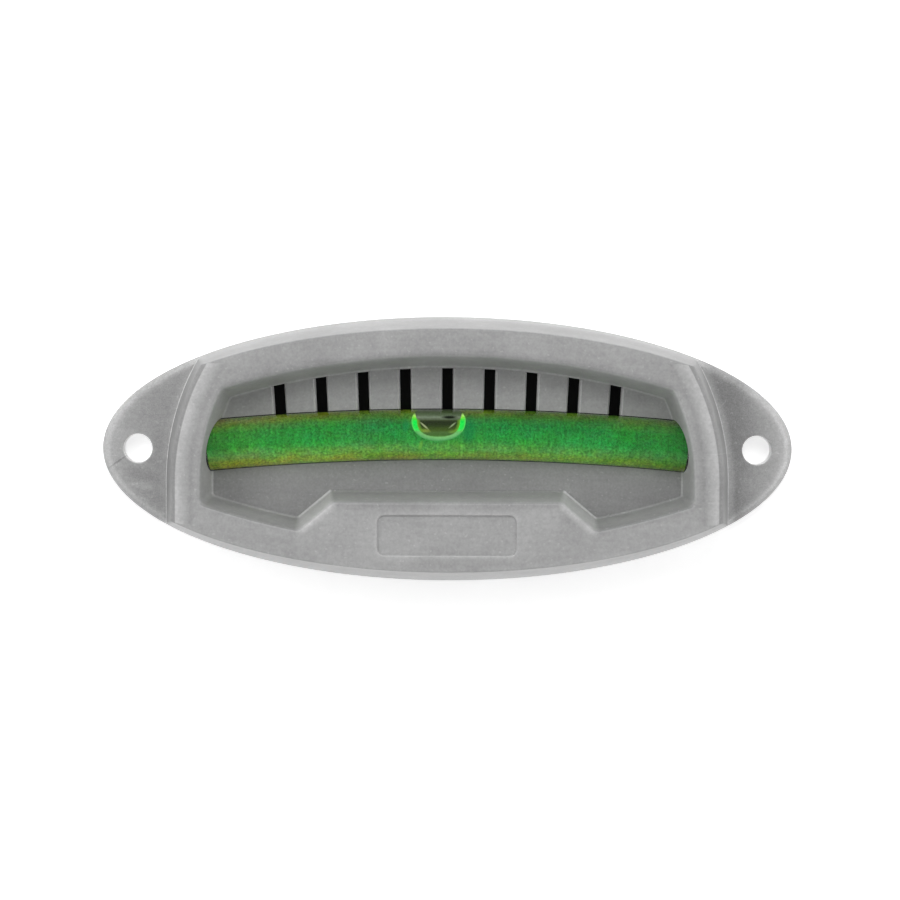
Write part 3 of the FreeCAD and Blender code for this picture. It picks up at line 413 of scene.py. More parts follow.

# Each ear has a rounded rim, bands that carry its painted pale edge of light, and a screw hole with an
# eased rim, whose wall is painted pale with light.
for hand, name, foot in ((1, "right", right_foot), (-1, "left", left_foot)):
    rows = [level_rows[name]]
    for number, depth in enumerate(ear_levels[1:] + [EAR_DEPTH] * len(EAR_BANDS)):
        band = max(number - ROUND_STEPS, 0)
        inset = ear_insets[band] if band else set_back(depth, EAR_DEPTH, WALL_DRAFT, EAR_ROUNDING)
        low, high = (corner_angle(depth, inset, step_foot, way) for way in (-1, 1))
        arc = lens_arc(depth, inset, low, high, EAR_STEPS)
        if hand == -1:
            arc = mirrored(arc)
        tone = EAR_EDGE_TONES[hand == -1]
        tone *= number / ROUND_STEPS if not band else (1 - band / len(EAR_BANDS)) ** 2
        if number < ROUND_STEPS:
            rows.append(ring(arc, depth, tone))
        else:
            rows.append([foot[1 + band], *ring(arc[1:-1], depth, tone), foot[-2 - band]])
    for lower, upper in zip(rows, rows[1:]):
        skirt(shell, lower, upper, closed=False)
    for end, corner in ((0, foot[0]), (-1, foot[-1])):
        shell.faces.new([*(row[end] for row in rows[: ROUND_STEPS + 2]), corner])
    middle = Vector((hand * HOLE_PLACE, 0))
    hole = [ring(circle(middle, HOLE_RADIUS), 0.0, HOLE_WALL_TONE)]
    for depth in rounding_depths(EAR_DEPTH, 0.0, HOLE_ROUNDING):
        radius = HOLE_RADIUS + set_back(depth, EAR_DEPTH, 0.0, HOLE_ROUNDING)
        fall = (EAR_DEPTH - depth) / HOLE_ROUNDING
        hole.append(ring(circle(middle, radius), depth, HOLE_WALL_TONE * fall))
    stack(shell, hole)
    back_rows[f"{name}_hole"] = hole[0]
    inside = len(EAR_BANDS) + 2
    flat(rows[-1] + foot[inside:-inside][::-1], hole[-1])

# The back: a rebate that the cover drops into, and the hollow behind the front.
back_outline = [vertex for name in order for vertex in back_rows[name][:-1]]
ledge = WALL - COVER_LEDGE
rebate = [ring(raised_outline(depth, ledge, ledge), depth) for depth in (0.0, COVER_THICKNESS)]
stack(shell, rebate)
flat(back_outline, rebate[0], back_rows["right_hole"], back_rows["left_hole"])
hollow_depths = (COVER_THICKNESS, DEPTH - WALL)
hollow = [ring(raised_outline(depth, WALL, WALL), depth) for depth in hollow_depths]
stack(shell, hollow)
flat(rebate[1], hollow[0])
floor_front = DEPTH - TRAY_DEPTH
floor_rear = floor_front - FLOOR_THICKNESS
block = [
    ring(tray_outline((depth - DEPTH) * tan(TRAY_DRAFT) + WALL, BLOCK_CORNER), depth)
    for depth in (floor_rear, DEPTH - WALL)
]
stack(shell, block)
flat(hollow[1], block[1])
flat(block[0])


def along_tray(tones):
    """A tone for each point of the tray's outline, from its sides', blended round the corners."""
    row = []
    for tone, following in zip(tones, tones[1:] + tones[:1]):
        row += [tone] * (TRAY_STEPS + 1)
        row += [tone + (following - tone) * number / ROUND_STEPS for number in range(1, ROUND_STEPS)]
    return row


# The front: the tray with its rounded rim and foot, and the plain sunk panel on the shelf.
foot_turns = evenly(pi / 2, -TRAY_DRAFT, FOOT_STEPS)
foot_depths = [floor_front + TRAY_FILLET * (1 - sin(turn)) for turn in foot_turns]
middle_depth = (floor_front + DEPTH) / 2
tray = []
for depth in [*foot_depths, middle_depth, *rounding_depths(DEPTH, TRAY_DRAFT, TRAY_ROUNDING)]:
    outline = tray_outline(tray_growth(depth), tray_corner(depth))
    # The tray's tones are painted light and shade for its foot, walls, rounding and rim, side by side.
    if depth < foot_depths[FOOT_STEPS // 2 + 1]:
        tones = TRAY_FOOT_TONES
    elif depth < DEPTH - TRAY_ROUNDING * ROUND_SHARE:
        tones = TRAY_WALL_TONES
    else:
        tones = TRAY_ROUND_TONES if depth < DEPTH - EDGE_LINE else TRAY_RIM_TONES
    tray.append(ring(outline, depth, along_tray(tones)))
outline = tray_outline(tray_growth(DEPTH) + TRAY_BAND, tray_corner(DEPTH) + TRAY_BAND)
tray.append(ring(outline, DEPTH, along_tray(TRAY_BAND_TONES)))
stack(shell, tray)
flat(tray[0])
panel_front = DEPTH - PANEL_SINK
panel = []
for growth, corner, height in PANEL_FOOT:
    panel.append(ring(panel_outline(growth, corner), panel_front + height))
for depth in rounding_depths(DEPTH, PANEL_DRAFT, PANEL_ROUNDING):
    outline = panel_outline(set_back(depth, DEPTH, PANEL_DRAFT, PANEL_ROUNDING), PANEL_CORNERS[0])
    panel.append(ring(outline, depth, PANEL_EDGE_TONE))
panel.append(ring(panel_outline(PANEL_ROUNDING + PANEL_BAND, PANEL_CORNERS[1]), DEPTH))
stack(shell, panel)
flat(panel[0])
flat(sides[-1], tray[-1], panel[-1])
bmesh.ops.recalc_face_normals(shell, faces=shell.faces)


def vial_place(angle, rise):
    """The point at an angle along the vial's bend, at a height above its axis."""
    reach = VIAL_CURVE + rise
    return Vector((reach * sin(angle), VIAL_RISE - VIAL_CURVE + reach * cos(angle)))


def placed(name, data):
    """A new object in the scene, from its mesh, its lamp or its camera."""
    thing = bpy.data.objects.new(name, data)
    bpy.context.scene.collection.objects.link(thing)
    return thing


def new_piece(name, made):
    """A piece from a finished bmesh, in the scene."""
    bmesh.ops.recalc_face_normals(made, faces=made.faces)
    mesh = bpy.data.meshes.new(name)
    made.to_mesh(mesh)
    made.free()
    return placed(name, mesh)


def cutter(name, solids):
    """A tool made of closed solids, each given as its rows of points from end to end."""
    tool = bmesh.new()
    for rows in solids:
        made = [[tool.verts.new(point) for point in row] for row in rows]
        for lower, upper in zip(made, made[1:]):
            skirt(tool, lower, upper)
        tool.faces.new(made[0][::-1])
        tool.faces.new(made[-1])
    return new_piece(name, tool)


# The seat that the vial lies in: a half-round front with straight sides, open to the back.
seat_radius = VIAL_RADIUS + SEAT_CLEARANCE
seat_half_turn = asin((VIAL_HALF_LENGTH + SEAT_END_CLEARANCE) / VIAL_CURVE)
seat_section = [(seat_radius, -SEAT_OVERRUN)]
for turn in evenly(0, pi, SEAT_STEPS):
    seat_section.append((seat_radius * cos(turn), floor_front + seat_radius * sin(turn)))
seat_section.append((-seat_radius, -SEAT_OVERRUN))
seat_rows = []
for number in range(2 * SEAT_STEPS + 1):
    angle = seat_half_turn * (number / SEAT_STEPS - 1)
    places = [(vial_place(angle, rise), depth) for rise, depth in seat_section]
    seat_rows.append([(place.x, -depth, place.y) for place, depth in places])

# The tick slots, fanned about the centre of the vial's bend: their sides flare to the front.
floor_inset = TRAY_DEPTH * tan(TRAY_DRAFT)
tick_line = TRAY_CURVE - floor_inset + TICK_LINE_FLATTENING
tick_line_centre = Vector((0, TRAY_REACH - floor_inset - TICK_MARGIN - tick_line))
slots = []
for number in range(TICKS):
    angle = TICK_TURN * (number - (TICKS - 1) / 2)
    up = Vector((sin(angle), cos(angle)))
    side = Vector((up.y, -up.x))
    rows = []
    for depth in (floor_rear - SLOT_OVERRUN, floor_front + SLOT_OVERRUN):
        half = TICK_WIDTH / 2 + TICK_FLARE * (depth - floor_rear) / FLOOR_THICKNESS
        feet = [vial_place(angle, 0.0) + side * half * way for way in (-1, 1)]
        tops = []
        for foot in feet:
            offset = foot - tick_line_centre
            along = offset.dot(up)
            tops.append(foot + up * (sqrt(along**2 - offset.length_squared + tick_line**2) - along))
        rows.append([(point.x, -depth, point.y) for point in (feet[0], tops[0], tops[1], feet[1])])
    slots.append(rows)

moulding = new_piece("housing_moulding", shell)
tools = [cutter("seat_tool", [seat_rows]), cutter("slot_tool", slots)]
for tool in tools:
    cut = moulding.modifiers.new(tool.name, "BOOLEAN")
    cut.object, cut.operation, cut.solver = tool, "DIFFERENCE", "EXACT"
bpy.context.view_layer.update()
worked = moulding.evaluated_get(bpy.context.evaluated_depsgraph_get())
finished = bpy.data.meshes.new_from_object(worked)
moulding.modifiers.clear()
moulding.data = finished
for tool in tools:
    bpy.data.objects.remove(tool)


SMOOTH_UNDER, FLAT_NORMAL, SLOT_SIDE_NORMAL = radians(32), 0.99999, 0.8


def smooth_normals(mesh, limit):
    """Shades a mesh smooth between faces that meet under limit, with its flats flat to their rim."""
    work = bmesh.new()
    work.from_mesh(mesh)
    level = cos(limit)
    normals = []
    for face in work.faces:
        for loop in face.loops:
            near = [other for other in loop.vert.link_faces if other.normal.dot(face.normal) > level]
            flats = [other.normal.copy() for other in near if abs(other.normal.y) > FLAT_NORMAL]
            total = sum((other.normal * other.calc_area() for other in near), Vector())
            normals.append(flats[0] if flats else total.normalized())
    work.free()
    mesh.polygons.foreach_set("use_smooth", [True] * len(mesh.polygons))
    mesh.normals_split_custom_set(normals)


smooth_normals(finished, SMOOTH_UNDER)

# The tones of the loops go on to the finished mesh as painted light and shade. The back has none, and
# the tray's floor gets its own painted shade and the slots' sides their own painted highlight.
spots = KDTree(len(toned_spots))
for number, (spot, tone) in enumerate(toned_spots):
    spots.insert(spot, number)
spots.balance()
painted_light_tone = finished.attributes.new("painted_light_tone", "FLOAT", "CORNER")
for face in finished.polygons:
    middle = face.center
    in_floor = floor_rear < -middle.y < floor_front and VIAL_RISE < middle.z < TRAY_REACH
    if abs(middle.y) < TOUCHING:
        area_tone = 0.0
    elif abs(middle.y + floor_front) < TOUCHING:
        area_tone = HIGH_FLOOR_TONE if middle.z > VIAL_RISE else LOW_FLOOR_TONE
    elif in_floor and abs(middle.x) < TRAY_SIDE and abs(face.normal.x) > SLOT_SIDE_NORMAL:
        area_tone = SLOT_SIDE_TONE
    else:
        area_tone = None
    for corner in face.loop_indices:
        _, number, gap = spots.find(finished.vertices[finished.loops[corner].vertex_index].co)
        own = toned_spots[number][1] if gap < TOUCHING else 0.0
        painted_light_tone.data[corner].value = own if area_tone is None else area_tone
finished.transform(Matrix.Scale(MM, 4))


def linear(code):
    """A colour written as sRGB hex, as the linear RGBA that the shaders take."""
    parts = [int(code[start : start + 2], 16) / 255 for start in (0, 2, 4)]
    return tuple(c / 12.92 if c <= 0.04045 else ((c + 0.055) / 1.055) ** 2.4 for c in parts) + (1.0,)


def new_material(name):
    """A material with only its output in it, and the place on the piece, for its patterns."""
    material = bpy.data.materials.new(name)
    material.use_nodes = True
    nodes = material.node_tree.nodes
    nodes.clear()
    nodes.new("ShaderNodeOutputMaterial")
    return material, nodes.new("ShaderNodeTexCoord").outputs["Object"]


def add(material, kind, inputs=(), stops=None, **settings):
    """Adds a node. Its inputs, by name or listed from the first one, are plain values, outputs, or
    nodes, which give their first output in use. Stops are a ramp's colours."""
    tree = material.node_tree
    node = tree.nodes.new("ShaderNode" + kind)
    for name, value in settings.items():
        setattr(node, name, value)
    if stops:
        elements = node.color_ramp.elements
        while len(elements) < len(stops):
            elements.new(0.5)
        for element, (at, code) in zip(elements, stops):
            element.position, element.color = at, linear(code)
    for name, value in inputs.items() if isinstance(inputs, dict) else enumerate(inputs):
        named = (entry for entry in node.inputs if entry.enabled and entry.name == name)
        entry = node.inputs[name] if isinstance(name, int) else next(named)
        if isinstance(value, bpy.types.Node):
            value = next(output for output in value.outputs if output.enabled)
        if isinstance(value, bpy.types.NodeSocket):
            tree.links.new(value, entry)
        else:
            entry.default_value = value
    return node


def finish_with(material, shader, piece):
    """Shows a shader as the material's surface, and gives the material to a piece."""
    tree = material.node_tree
    tree.links.new(shader.outputs[0], tree.nodes["Material Output"].inputs["Surface"])
    piece.data.materials.clear()
    piece.data.materials.append(material)


SPOT_CORE = 0.4


def soft_mark(material, place, x, z, lean, length, width):
    """A long soft spot in the front's plane: a mask of 1 in its core that fades to 0 at its rim."""
    near = {"Location": (x * MM, 0, z * MM), "Rotation": (0, -radians(lean), 0)}
    size = {"Scale": (length / 2 * MM, 1, width / 2 * MM)}
    spot = add(material, "Mapping", {"Vector": place, **near, **size}, vector_type="TEXTURE")
    away = add(material, "VectorMath", [spot], operation="LENGTH")
    return add(material, "MapRange", {"Value": away, "From Min": 1.0, "From Max": SPOT_CORE})


# Grey polypropylene from a spark-eroded mould: satin and matt, with a fine even grain, pale specks,
# faint clouds and flow lines where the melt cooled unevenly, and thin edges that let some light in.
# Light and shade are also painted into its colour, at its edges, walls, floor and ears.
plastic, place = new_material("moulded_grey_polypropylene")
along = add(plastic, "Mapping", {"Vector": place, "Scale": (1.0, 1.0, 8.0)})
upward = add(plastic, "Mapping", {"Vector": place, "Scale": (6.0, 1.0, 1.0)})
NOISE_SPAN = {"From Min": 0.3, "From Max": 0.7}
factors = []
for vector, size, detail, weakest, strongest in (
    (place, 9.0, 3.0, 0.93, 1.07),  # clouds
    (along, 7.0, 2.0, 0.965, 1.035),  # flow lines along the body
    (upward, 6.0, 2.0, 0.98, 1.02),  # flow lines up the steps
    (place, 0.9, 2.0, 0.955, 1.045),  # coarse grain
    (place, 0.4, 1.0, 0.94, 1.06),  # fine grain, of 0.1 mm on the real one, drawn coarser to show
):
    noise = add(plastic, "TexNoise", {"Vector": vector, "Scale": 1 / (size * MM), "Detail": detail})
    spread = {"Value": noise, **NOISE_SPAN, "To Min": weakest, "To Max": strongest}
    factors.append(add(plastic, "MapRange", spread))
grain = noise
ear_grain = add(plastic, "TexNoise", {"Vector": place, "Scale": 1 / (0.25 * MM), "Detail": 1.0})

# The marks of this moulding: a weld line and a smudge with its pale foot on the left ear, and a
# fine line across the right end of the front.
for x, z, lean, length, width, strength in (
    (-62.7, -2.5, 35.0, 6.0, 0.45, -0.3),
    (-58.0, -5.0, -15.0, 9.0, 3.0, -0.15),
    (-58.2, -7.2, -12.0, 7.0, 1.6, 0.1),
    (51.5, -0.5, 0.0, 11.0, 0.3, 0.12),
):
    mark = soft_mark(plastic, place, x, z, lean, length, width)
    factors.append(add(plastic, "MapRange", {"Value": mark, "To Min": 1.0, "To Max": 1 + strength}))

# The ears stand lowest and are grainier. Their light and shade is painted on: they grow paler outward,
# the right one is painted darker, and beside the steps' feet a painted pale halo fades out.
PAINTED_HALO_REACH, EAR_REACH, EAR_GRAIN, EAR_MARGINS = (47.2, 48.6), (55.5, 62.5), 0.09, (0.5, 0.1)
spot = add(plastic, "SeparateXYZ", [place]).outputs
above, at = (-(EAR_DEPTH + margin) * MM for margin in EAR_MARGINS)
lowness = {"From Min": above, "From Max": at}
low = add(plastic, "MapRange", {"Value": spot["Y"], **lowness})
aside = add(plastic, "Math", [spot["X"]], operation="ABSOLUTE")
onto_arc = add(plastic, "Math", [aside, STEP_CENTRE.x * MM], operation="SUBTRACT")
bent = add(plastic, "Math", [spot["Z"], STEP_CENTRE.y * MM], operation="SUBTRACT")
bent = add(plastic, "Math", [bent, 0.0], operation="MAXIMUM")
from_step = add(plastic, "CombineXYZ", {"X": onto_arc, "Y": bent})
from_step = add(plastic, "VectorMath", [from_step], operation="LENGTH")
rough = {"Value": ear_grain, **NOISE_SPAN, "To Min": -EAR_GRAIN, "To Max": EAR_GRAIN}
ear_grain_and_shades = [add(plastic, "MapRange", rough)]
on_right = add(plastic, "Math", [spot["X"], 0.0], operation="GREATER_THAN")
for halo, inner, outer in ((0.16, -0.13, 0.08), (0.42, -0.33, 0.12)):
    parts = []
    for value, (start, end), first, last in (
        (from_step, PAINTED_HALO_REACH, halo, 0.0),
        (aside, EAR_REACH, inner, outer),
    ):
        spread = {"From Min": start * MM, "From Max": end * MM, "To Min": first, "To Max": last}
        parts.append(add(plastic, "MapRange", {"Value": value, **spread}))
    ear_grain_and_shades.append(add(plastic, "Math", parts, operation="ADD"))
painted_ear_shade = add(plastic, "Mix", {"Factor": on_right, "A": ear_grain_and_shades[1], "B": ear_grain_and_shades[2]})
ear_tone = add(plastic, "Math", [painted_ear_shade, ear_grain_and_shades[0]], operation="ADD")
factors.append(add(plastic, "Math", [low, ear_tone, 1.0], operation="MULTIPLY_ADD"))
# The mesh's painted light and shade at the edges, walls, floor and slots.
painted_tone = add(plastic, "Attribute", attribute_name="painted_light_tone").outputs["Fac"]
factors.append(add(plastic, "Math", [painted_tone, 1.0], operation="ADD"))
shade = factors[0]
for factor in factors[1:]:
    shade = add(plastic, "Math", [shade, factor], operation="MULTIPLY")
MOST_SHADE = 2.5
tinted = {"Value": shade, "From Max": MOST_SHADE, "To Max": MOST_SHADE * linear("A4A4A4")[0]}
grey = add(plastic, "MapRange", tinted)
dust = add(plastic, "TexNoise", {"Vector": place, "Scale": 1 / (0.55 * MM), "Detail": 0.0})
speck = {"Value": dust, "From Min": 0.74, "From Max": 0.84, "To Max": 0.07}
pale = add(plastic, "MapRange", speck)
speckled = add(plastic, "Math", [grey, pale], operation="ADD")
relief = add(plastic, "Bump", {"Height": grain, "Strength": 0.15, "Distance": 0.03 * MM})
satin = add(plastic, "MapRange", {"Value": grain, **NOISE_SPAN, "To Min": 0.48, "To Max": 0.58})
sheen = {"Roughness": satin, "IOR": 1.49, "Specular IOR Level": 0.35, "Normal": relief}
inside = {"Subsurface Weight": 0.1, "Subsurface Radius": (1.0,) * 3, "Subsurface Scale": 0.8 * MM}
moulded = add(plastic, "BsdfPrincipled", {"Base Color": speckled, **sheen, **inside})
finish_with(plastic, moulded, moulding)
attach(moulding, "level")
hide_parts("housing")


# Vial tube: clear acrylic, cut from extruded stock and bent warm to a long gentle arch. It lies in
# the seat of the tray's floor, its front half proud of it, and its ends run under the tray's walls.
VIAL_BORE_RADIUS, TUBE_LIP, TUBE_EASE, ACRYLIC_IOR = 3.85, 0.25, 0.3, 1.49
TUBE_STATIONS, TUBE_SIDES, SHARP_OVER = 96, 72, radians(40)


def to_smooth_metres(piece):
    """Turns a piece's millimetres to metres, and shades it smooth."""
    piece.data.transform(Matrix.Scale(MM, 4))
    piece.data.polygons.foreach_set("use_smooth", [True] * len(piece.data.polygons))


def turned(name, profile, closed):
    """A body turned about the vial's bent axis, from pairs of a place along and a radius."""
    made = bmesh.new()
    rings = []
    for along, radius in profile:
        rings.append([])
        for turn in evenly(0, tau, TUBE_SIDES)[:-1]:
            spot = vial_place(along / VIAL_CURVE, radius * cos(turn))
            rings[-1].append(made.verts.new((spot.x, -floor_front - radius * sin(turn), spot.y)))
    stack(made, rings + ([rings[0]] if closed else []))
    if not closed:
        made.faces.new(rings[0])
        made.faces.new(rings[-1])
    piece = new_piece(name, made)
    to_smooth_metres(piece)
    piece.data.set_sharp_from_angle(angle=SHARP_OVER)
    return piece


def stations(half_length, radius, way=1):
    """Even places along the vial's straight run at one radius."""
    numbers = range(TUBE_STATIONS + 1)
    return [(way * half_length * (2 * number / TUBE_STATIONS - 1), radius) for number in numbers]


straight_half = VIAL_HALF_LENGTH - TUBE_LIP
eased = VIAL_HALF_LENGTH - TUBE_EASE * TUBE_LIP
mouth = [
    (eased, VIAL_RADIUS - TUBE_EASE * TUBE_LIP),
    (VIAL_HALF_LENGTH, VIAL_RADIUS - TUBE_LIP),
    (VIAL_HALF_LENGTH, VIAL_BORE_RADIUS + TUBE_LIP),
    (eased, VIAL_BORE_RADIUS + TUBE_EASE * TUBE_LIP),
]
profile = stations(straight_half, VIAL_RADIUS) + mouth
profile += stations(straight_half, VIAL_BORE_RADIUS, way=-1)
profile += [(-along, radius) for along, radius in reversed(mouth)]
tube = turned("vial_tube_clear", profile, closed=True)

# Clear acrylic is colourless and polished by the extrusion, with faint draw lines along it and a
# fine ripple, drawn coarser than the real one, which mottles the green behind it. Lamps shine
# through it on what it holds, as they do through thin clear walls.
acrylic, place = new_material("clear_extruded_acrylic")
drawn = add(acrylic, "Mapping", {"Vector": place, "Scale": (0.05, 1.0, 1.0)})
lines = add(acrylic, "TexNoise", {"Vector": drawn, "Scale": 1 / (0.8 * MM), "Detail": 2.0})
polish = add(acrylic, "MapRange", {"Value": lines, "To Max": 0.008})
ripple = add(acrylic, "TexNoise", {"Vector": place, "Scale": 1 / (0.4 * MM), "Detail": 1.0})
ripple = add(acrylic, "ValToRGB", {"Fac": ripple}, stops=[(0.35, "DCDCDC"), (0.65, "FFFFFF")])
see_through = {"IOR": ACRYLIC_IOR, "Specular IOR Level": 0.15, "Transmission Weight": 1.0}
glass = add(acrylic, "BsdfPrincipled", {"Base Color": ripple, "Roughness": polish, **see_through})
clear = add(acrylic, "BsdfTransparent", {"Color": linear("F4FAF4")})
ray = add(acrylic, "LightPath").outputs["Is Shadow Ray"]
finish_with(acrylic, add(acrylic, "MixShader", [ray, glass, clear]), tube)
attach(tube, "level")
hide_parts("vial_tube")


# Stoppers: two black EPDM plugs pressed into the tube's ends, hidden under the tray's side walls.
# They keep the shape of their mould and carry a dull skin with a little bloom.
epdm, place = new_material("moulded_black_epdm")
bloom = add(epdm, "TexNoise", {"Vector": place, "Scale": 1 / (1.5 * MM), "Detail": 3.0})
skin = add(epdm, "ValToRGB", {"Fac": bloom}, stops=[(0.35, "101010"), (0.7, "1C1C1B")])
relief = add(epdm, "Bump", {"Height": bloom, "Strength": 0.2, "Distance": 0.05 * MM})
rubber = {"Base Color": skin, "Roughness": 0.75, "IOR": 1.48, "Normal": relief}
rubber = add(epdm, "BsdfPrincipled", rubber)
for name in ("vial_plug_left", "vial_plug_right"):
    finish_with(epdm, rubber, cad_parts[name])


# Liquid: green-dyed spirit that fills the bore. Its body is a touch wider than the bore, so that
# the tube's curved wall shows it from edge to edge, as it does with a real vial.
LIQUID_RADIUS, LIQUID_HALF_LENGTH, END_LENGTH, END_DROP = 3.9, 45.45, 0.2, 0.3
ends = (LIQUID_HALF_LENGTH, LIQUID_RADIUS - END_DROP)
profile = [(-ends[0], ends[1]), *stations(LIQUID_HALF_LENGTH - END_LENGTH, LIQUID_RADIUS), ends]
liquid = turned("vial_liquid_green", profile, closed=False)

# The dyed spirit's own green is even; its look through the tube is painted on: darkest green in the
# middle, where most of it is seen through, and yellower towards the rims and the ends, with mottling
# painted for the light that the tube's wall bends.
dye, place = new_material("green_dyed_spirit")
to_bend = {"Location": (0, 0, (VIAL_CURVE - VIAL_RISE) * MM), "Scale": (1, 0, 1)}
from_bend = add(dye, "Mapping", {"Vector": place, **to_bend})
reach = add(dye, "VectorMath", [from_bend], operation="LENGTH")
low, high = ((VIAL_CURVE + LIQUID_RADIUS * way) * MM for way in (-1, 1))
rise = add(dye, "MapRange", {"Value": reach, "From Min": low, "From Max": high})
middle_painted_tints = [
    (0.01, "92CA4C"), (0.05, "84C648"), (0.15, "60AF4D"), (0.32, "318D3C"),
    (0.42, "218636"), (0.73, "177530"), (0.84, "2B7332"), (0.98, "4E7123"),
]
end_painted_tints = [
    (0.01, "92B034"), (0.05, "88A937"), (0.15, "5F9745"), (0.25, "429041"),
    (0.41, "207F2B"), (0.73, "277F2B"), (0.89, "49803C"), (0.98, "6B8D4F"),
]
middle_tint = add(dye, "ValToRGB", {"Fac": rise}, stops=middle_painted_tints)
end_tint = add(dye, "ValToRGB", {"Fac": rise}, stops=end_painted_tints)
across = add(dye, "SeparateXYZ", [place]).outputs["X"]
aside = add(dye, "Math", [across], operation="ABSOLUTE")
near_end = {"Value": aside, "From Min": 24 * MM, "From Max": 41 * MM}
near_end = add(dye, "MapRange", near_end, interpolation_type="SMOOTHSTEP")
tint = add(dye, "Mix", {"Factor": near_end, "A": middle_tint, "B": end_tint}, data_type="RGBA")

# Towards the right it holds less red. Patches, mottles and grain each swing the three colours by
# their own shares.
stretched = add(dye, "Mapping", {"Vector": place, "Scale": (0.5, 1.0, 1.0)})
upright = add(dye, "Mapping", {"Vector": place, "Scale": (1.0, 0.2, 0.2)})
places = {"From Min": (-45 * MM,) * 3, "From Max": (45 * MM,) * 3}
swing = {"Vector": across, **places, "To Min": (1.7, 1.12, 1.06), "To Max": (0.85, 0.92, 0.95)}
swings = [add(dye, "MapRange", swing, data_type="FLOAT_VECTOR")]
for vector, size, kind, share in (
    (stretched, 3.5, "Color", (0.25, 0.12, 0.25)),
    (place, 1.1, "Color", (0.14, 0.1, 0.15)),
    (place, 0.4, "Fac", (0.4, 0.4, 0.4)),
    (upright, 0.5, "Fac", (0.2, 0.2, 0.2)),
):
    noise = add(dye, "TexNoise", {"Vector": vector, "Scale": 1 / (size * MM), "Detail": 2.0})
    swing = {name: (value,) * 3 for name, value in NOISE_SPAN.items()}
    swing["Vector"] = noise.outputs[kind]
    swing["To Min"], swing["To Max"] = (tuple(1 + way * part for part in share) for way in (-1, 1))
    swings.append(add(dye, "MapRange", swing, data_type="FLOAT_VECTOR"))
for swing in swings:
    tint = add(dye, "VectorMath", [tint, swing], operation="MULTIPLY")


def marked(material, place, tint, marks):
    """A tint with soft spots over it, each with a colour and a strength of its own."""
    for x, z, lean, length, width, colour, strength in marks:
        mark = soft_mark(material, place, x, z, lean, length, width)
        mark = add(material, "Math", [mark, strength], operation="MULTIPLY")
        tint = add(material, "Mix", {"Factor": mark, "A": tint, "B": linear(colour)}, data_type="RGBA")
    return tint


# Two slabs of light are painted under the bubble, and two deeper green patches are painted over them.
painted_slabs_and_patches = [
    (-5.0, 0.95, 72.0, 2.2, 1.0, "74B840", 0.6),
    (1.95, 0.95, -75.0, 2.0, 0.8, "62B040", 0.45),
    (4.1, 3.5, 85.0, 5.5, 3.2, "00743C", 0.7),
    (-7.8, 4.4, 90.0, 3.0, 1.6, "0A7A44", 0.5),
]
tint = marked(dye, place, tint, painted_slabs_and_patches)
spirit = add(dye, "BsdfPrincipled", {"Base Color": tint, "Roughness": 0.5, "Specular IOR Level": 0.0})
finish_with(dye, spirit, liquid)
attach(liquid, "level")
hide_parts("vial_liquid")


# Bubble: the air that was left in when the tube was plugged. It floats under the top of the bend,
# and is seen through the tube as a dark lens in a ring of light, with two bright green ends, all of
# them painted on its shell.
BUBBLE_TURN, BUBBLE_MIDDLE, BUBBLE_HALF_LENGTH = radians(-0.206), 2.63, 5.1
BUBBLE_DROP, BUBBLE_CLIMB, BUBBLE_SQUARENESS = 3.88, 3.2, 2.2
CORE_HALF_LENGTH, CORE_DROP, CORE_SQUARENESS, CORE_SPREAD = 4.0, 2.95, 2.5, 0.293
BUBBLE_COLUMNS, BUBBLE_LOW_ROWS, BUBBLE_HIGH_ROWS = 96, 34, 20
BUBBLE_RIM, BUBBLE_FRONT, BUBBLE_BACK, BUBBLE_EDGE = 3.86, 3.97, 3.6, 0.12
LOWEST_TURN, HIGHEST_SHARE = 0.04, 0.999


def seen_turn(height):
    """The angle round the liquid at which it is seen at a height, through the tube's curved wall."""
    slant = height / VIAL_RADIUS
    inward = asin(slant) - asin(slant / ACRYLIC_IOR)
    return inward + asin(height / (ACRYLIC_IOR * LIQUID_RADIUS))


turns = evenly(LOWEST_TURN, pi / 2, BUBBLE_LOW_ROWS)[:-1]
heights = [BUBBLE_MIDDLE - BUBBLE_DROP * cos(turn) for turn in turns]
heights += evenly(BUBBLE_MIDDLE, VIAL_RADIUS * HIGHEST_SHARE, BUBBLE_HIGH_ROWS)
made = bmesh.new()
ring_share = made.verts.layers.float.new("ring_share")
seen_height = made.verts.layers.float.new("seen_height")
front_grid, back_grid = [], []
for height in heights:
    rise = height - BUBBLE_MIDDLE
    up = abs(rise) / (BUBBLE_CLIMB if rise > 0 else BUBBLE_DROP)
    power = 2 if rise > 0 else BUBBLE_SQUARENESS
    half = BUBBLE_HALF_LENGTH * (1 - up**power) ** (1 / power)
    turn = seen_turn(height)
    front_grid.append([])
    back_grid.append([])
    for number in range(BUBBLE_COLUMNS + 1):
        x = half * sin(pi / 2 * (2 * number / BUBBLE_COLUMNS - 1))
        outer = (abs(x / BUBBLE_HALF_LENGTH) ** power + up**power) ** (1 / power)
        if rise > 0:
            core = abs(x) / (CORE_HALF_LENGTH + CORE_SPREAD * rise)
        else:
            across, down = abs(x / CORE_HALF_LENGTH), abs(rise / CORE_DROP)
            core = (across**CORE_SQUARENESS + down**CORE_SQUARENESS) ** (1 / CORE_SQUARENESS)
        lift = min(max(1 - outer, 0) / BUBBLE_EDGE, 1.0)
        radius = BUBBLE_RIM + (BUBBLE_FRONT - BUBBLE_RIM) * sqrt(lift * (2 - lift))
        front = made.verts.new((x, -radius * cos(turn), radius * sin(turn)))
        back = made.verts.new((x, -BUBBLE_BACK * cos(turn), BUBBLE_BACK * sin(turn)))
        for vertex in (front, back):
            vertex[ring_share] = max((core - 1) / max(core - outer, 1e-4), -1.0)
            vertex[seen_height] = height * MM
        front_grid[-1].append(front)
        back_grid[-1].append(back)
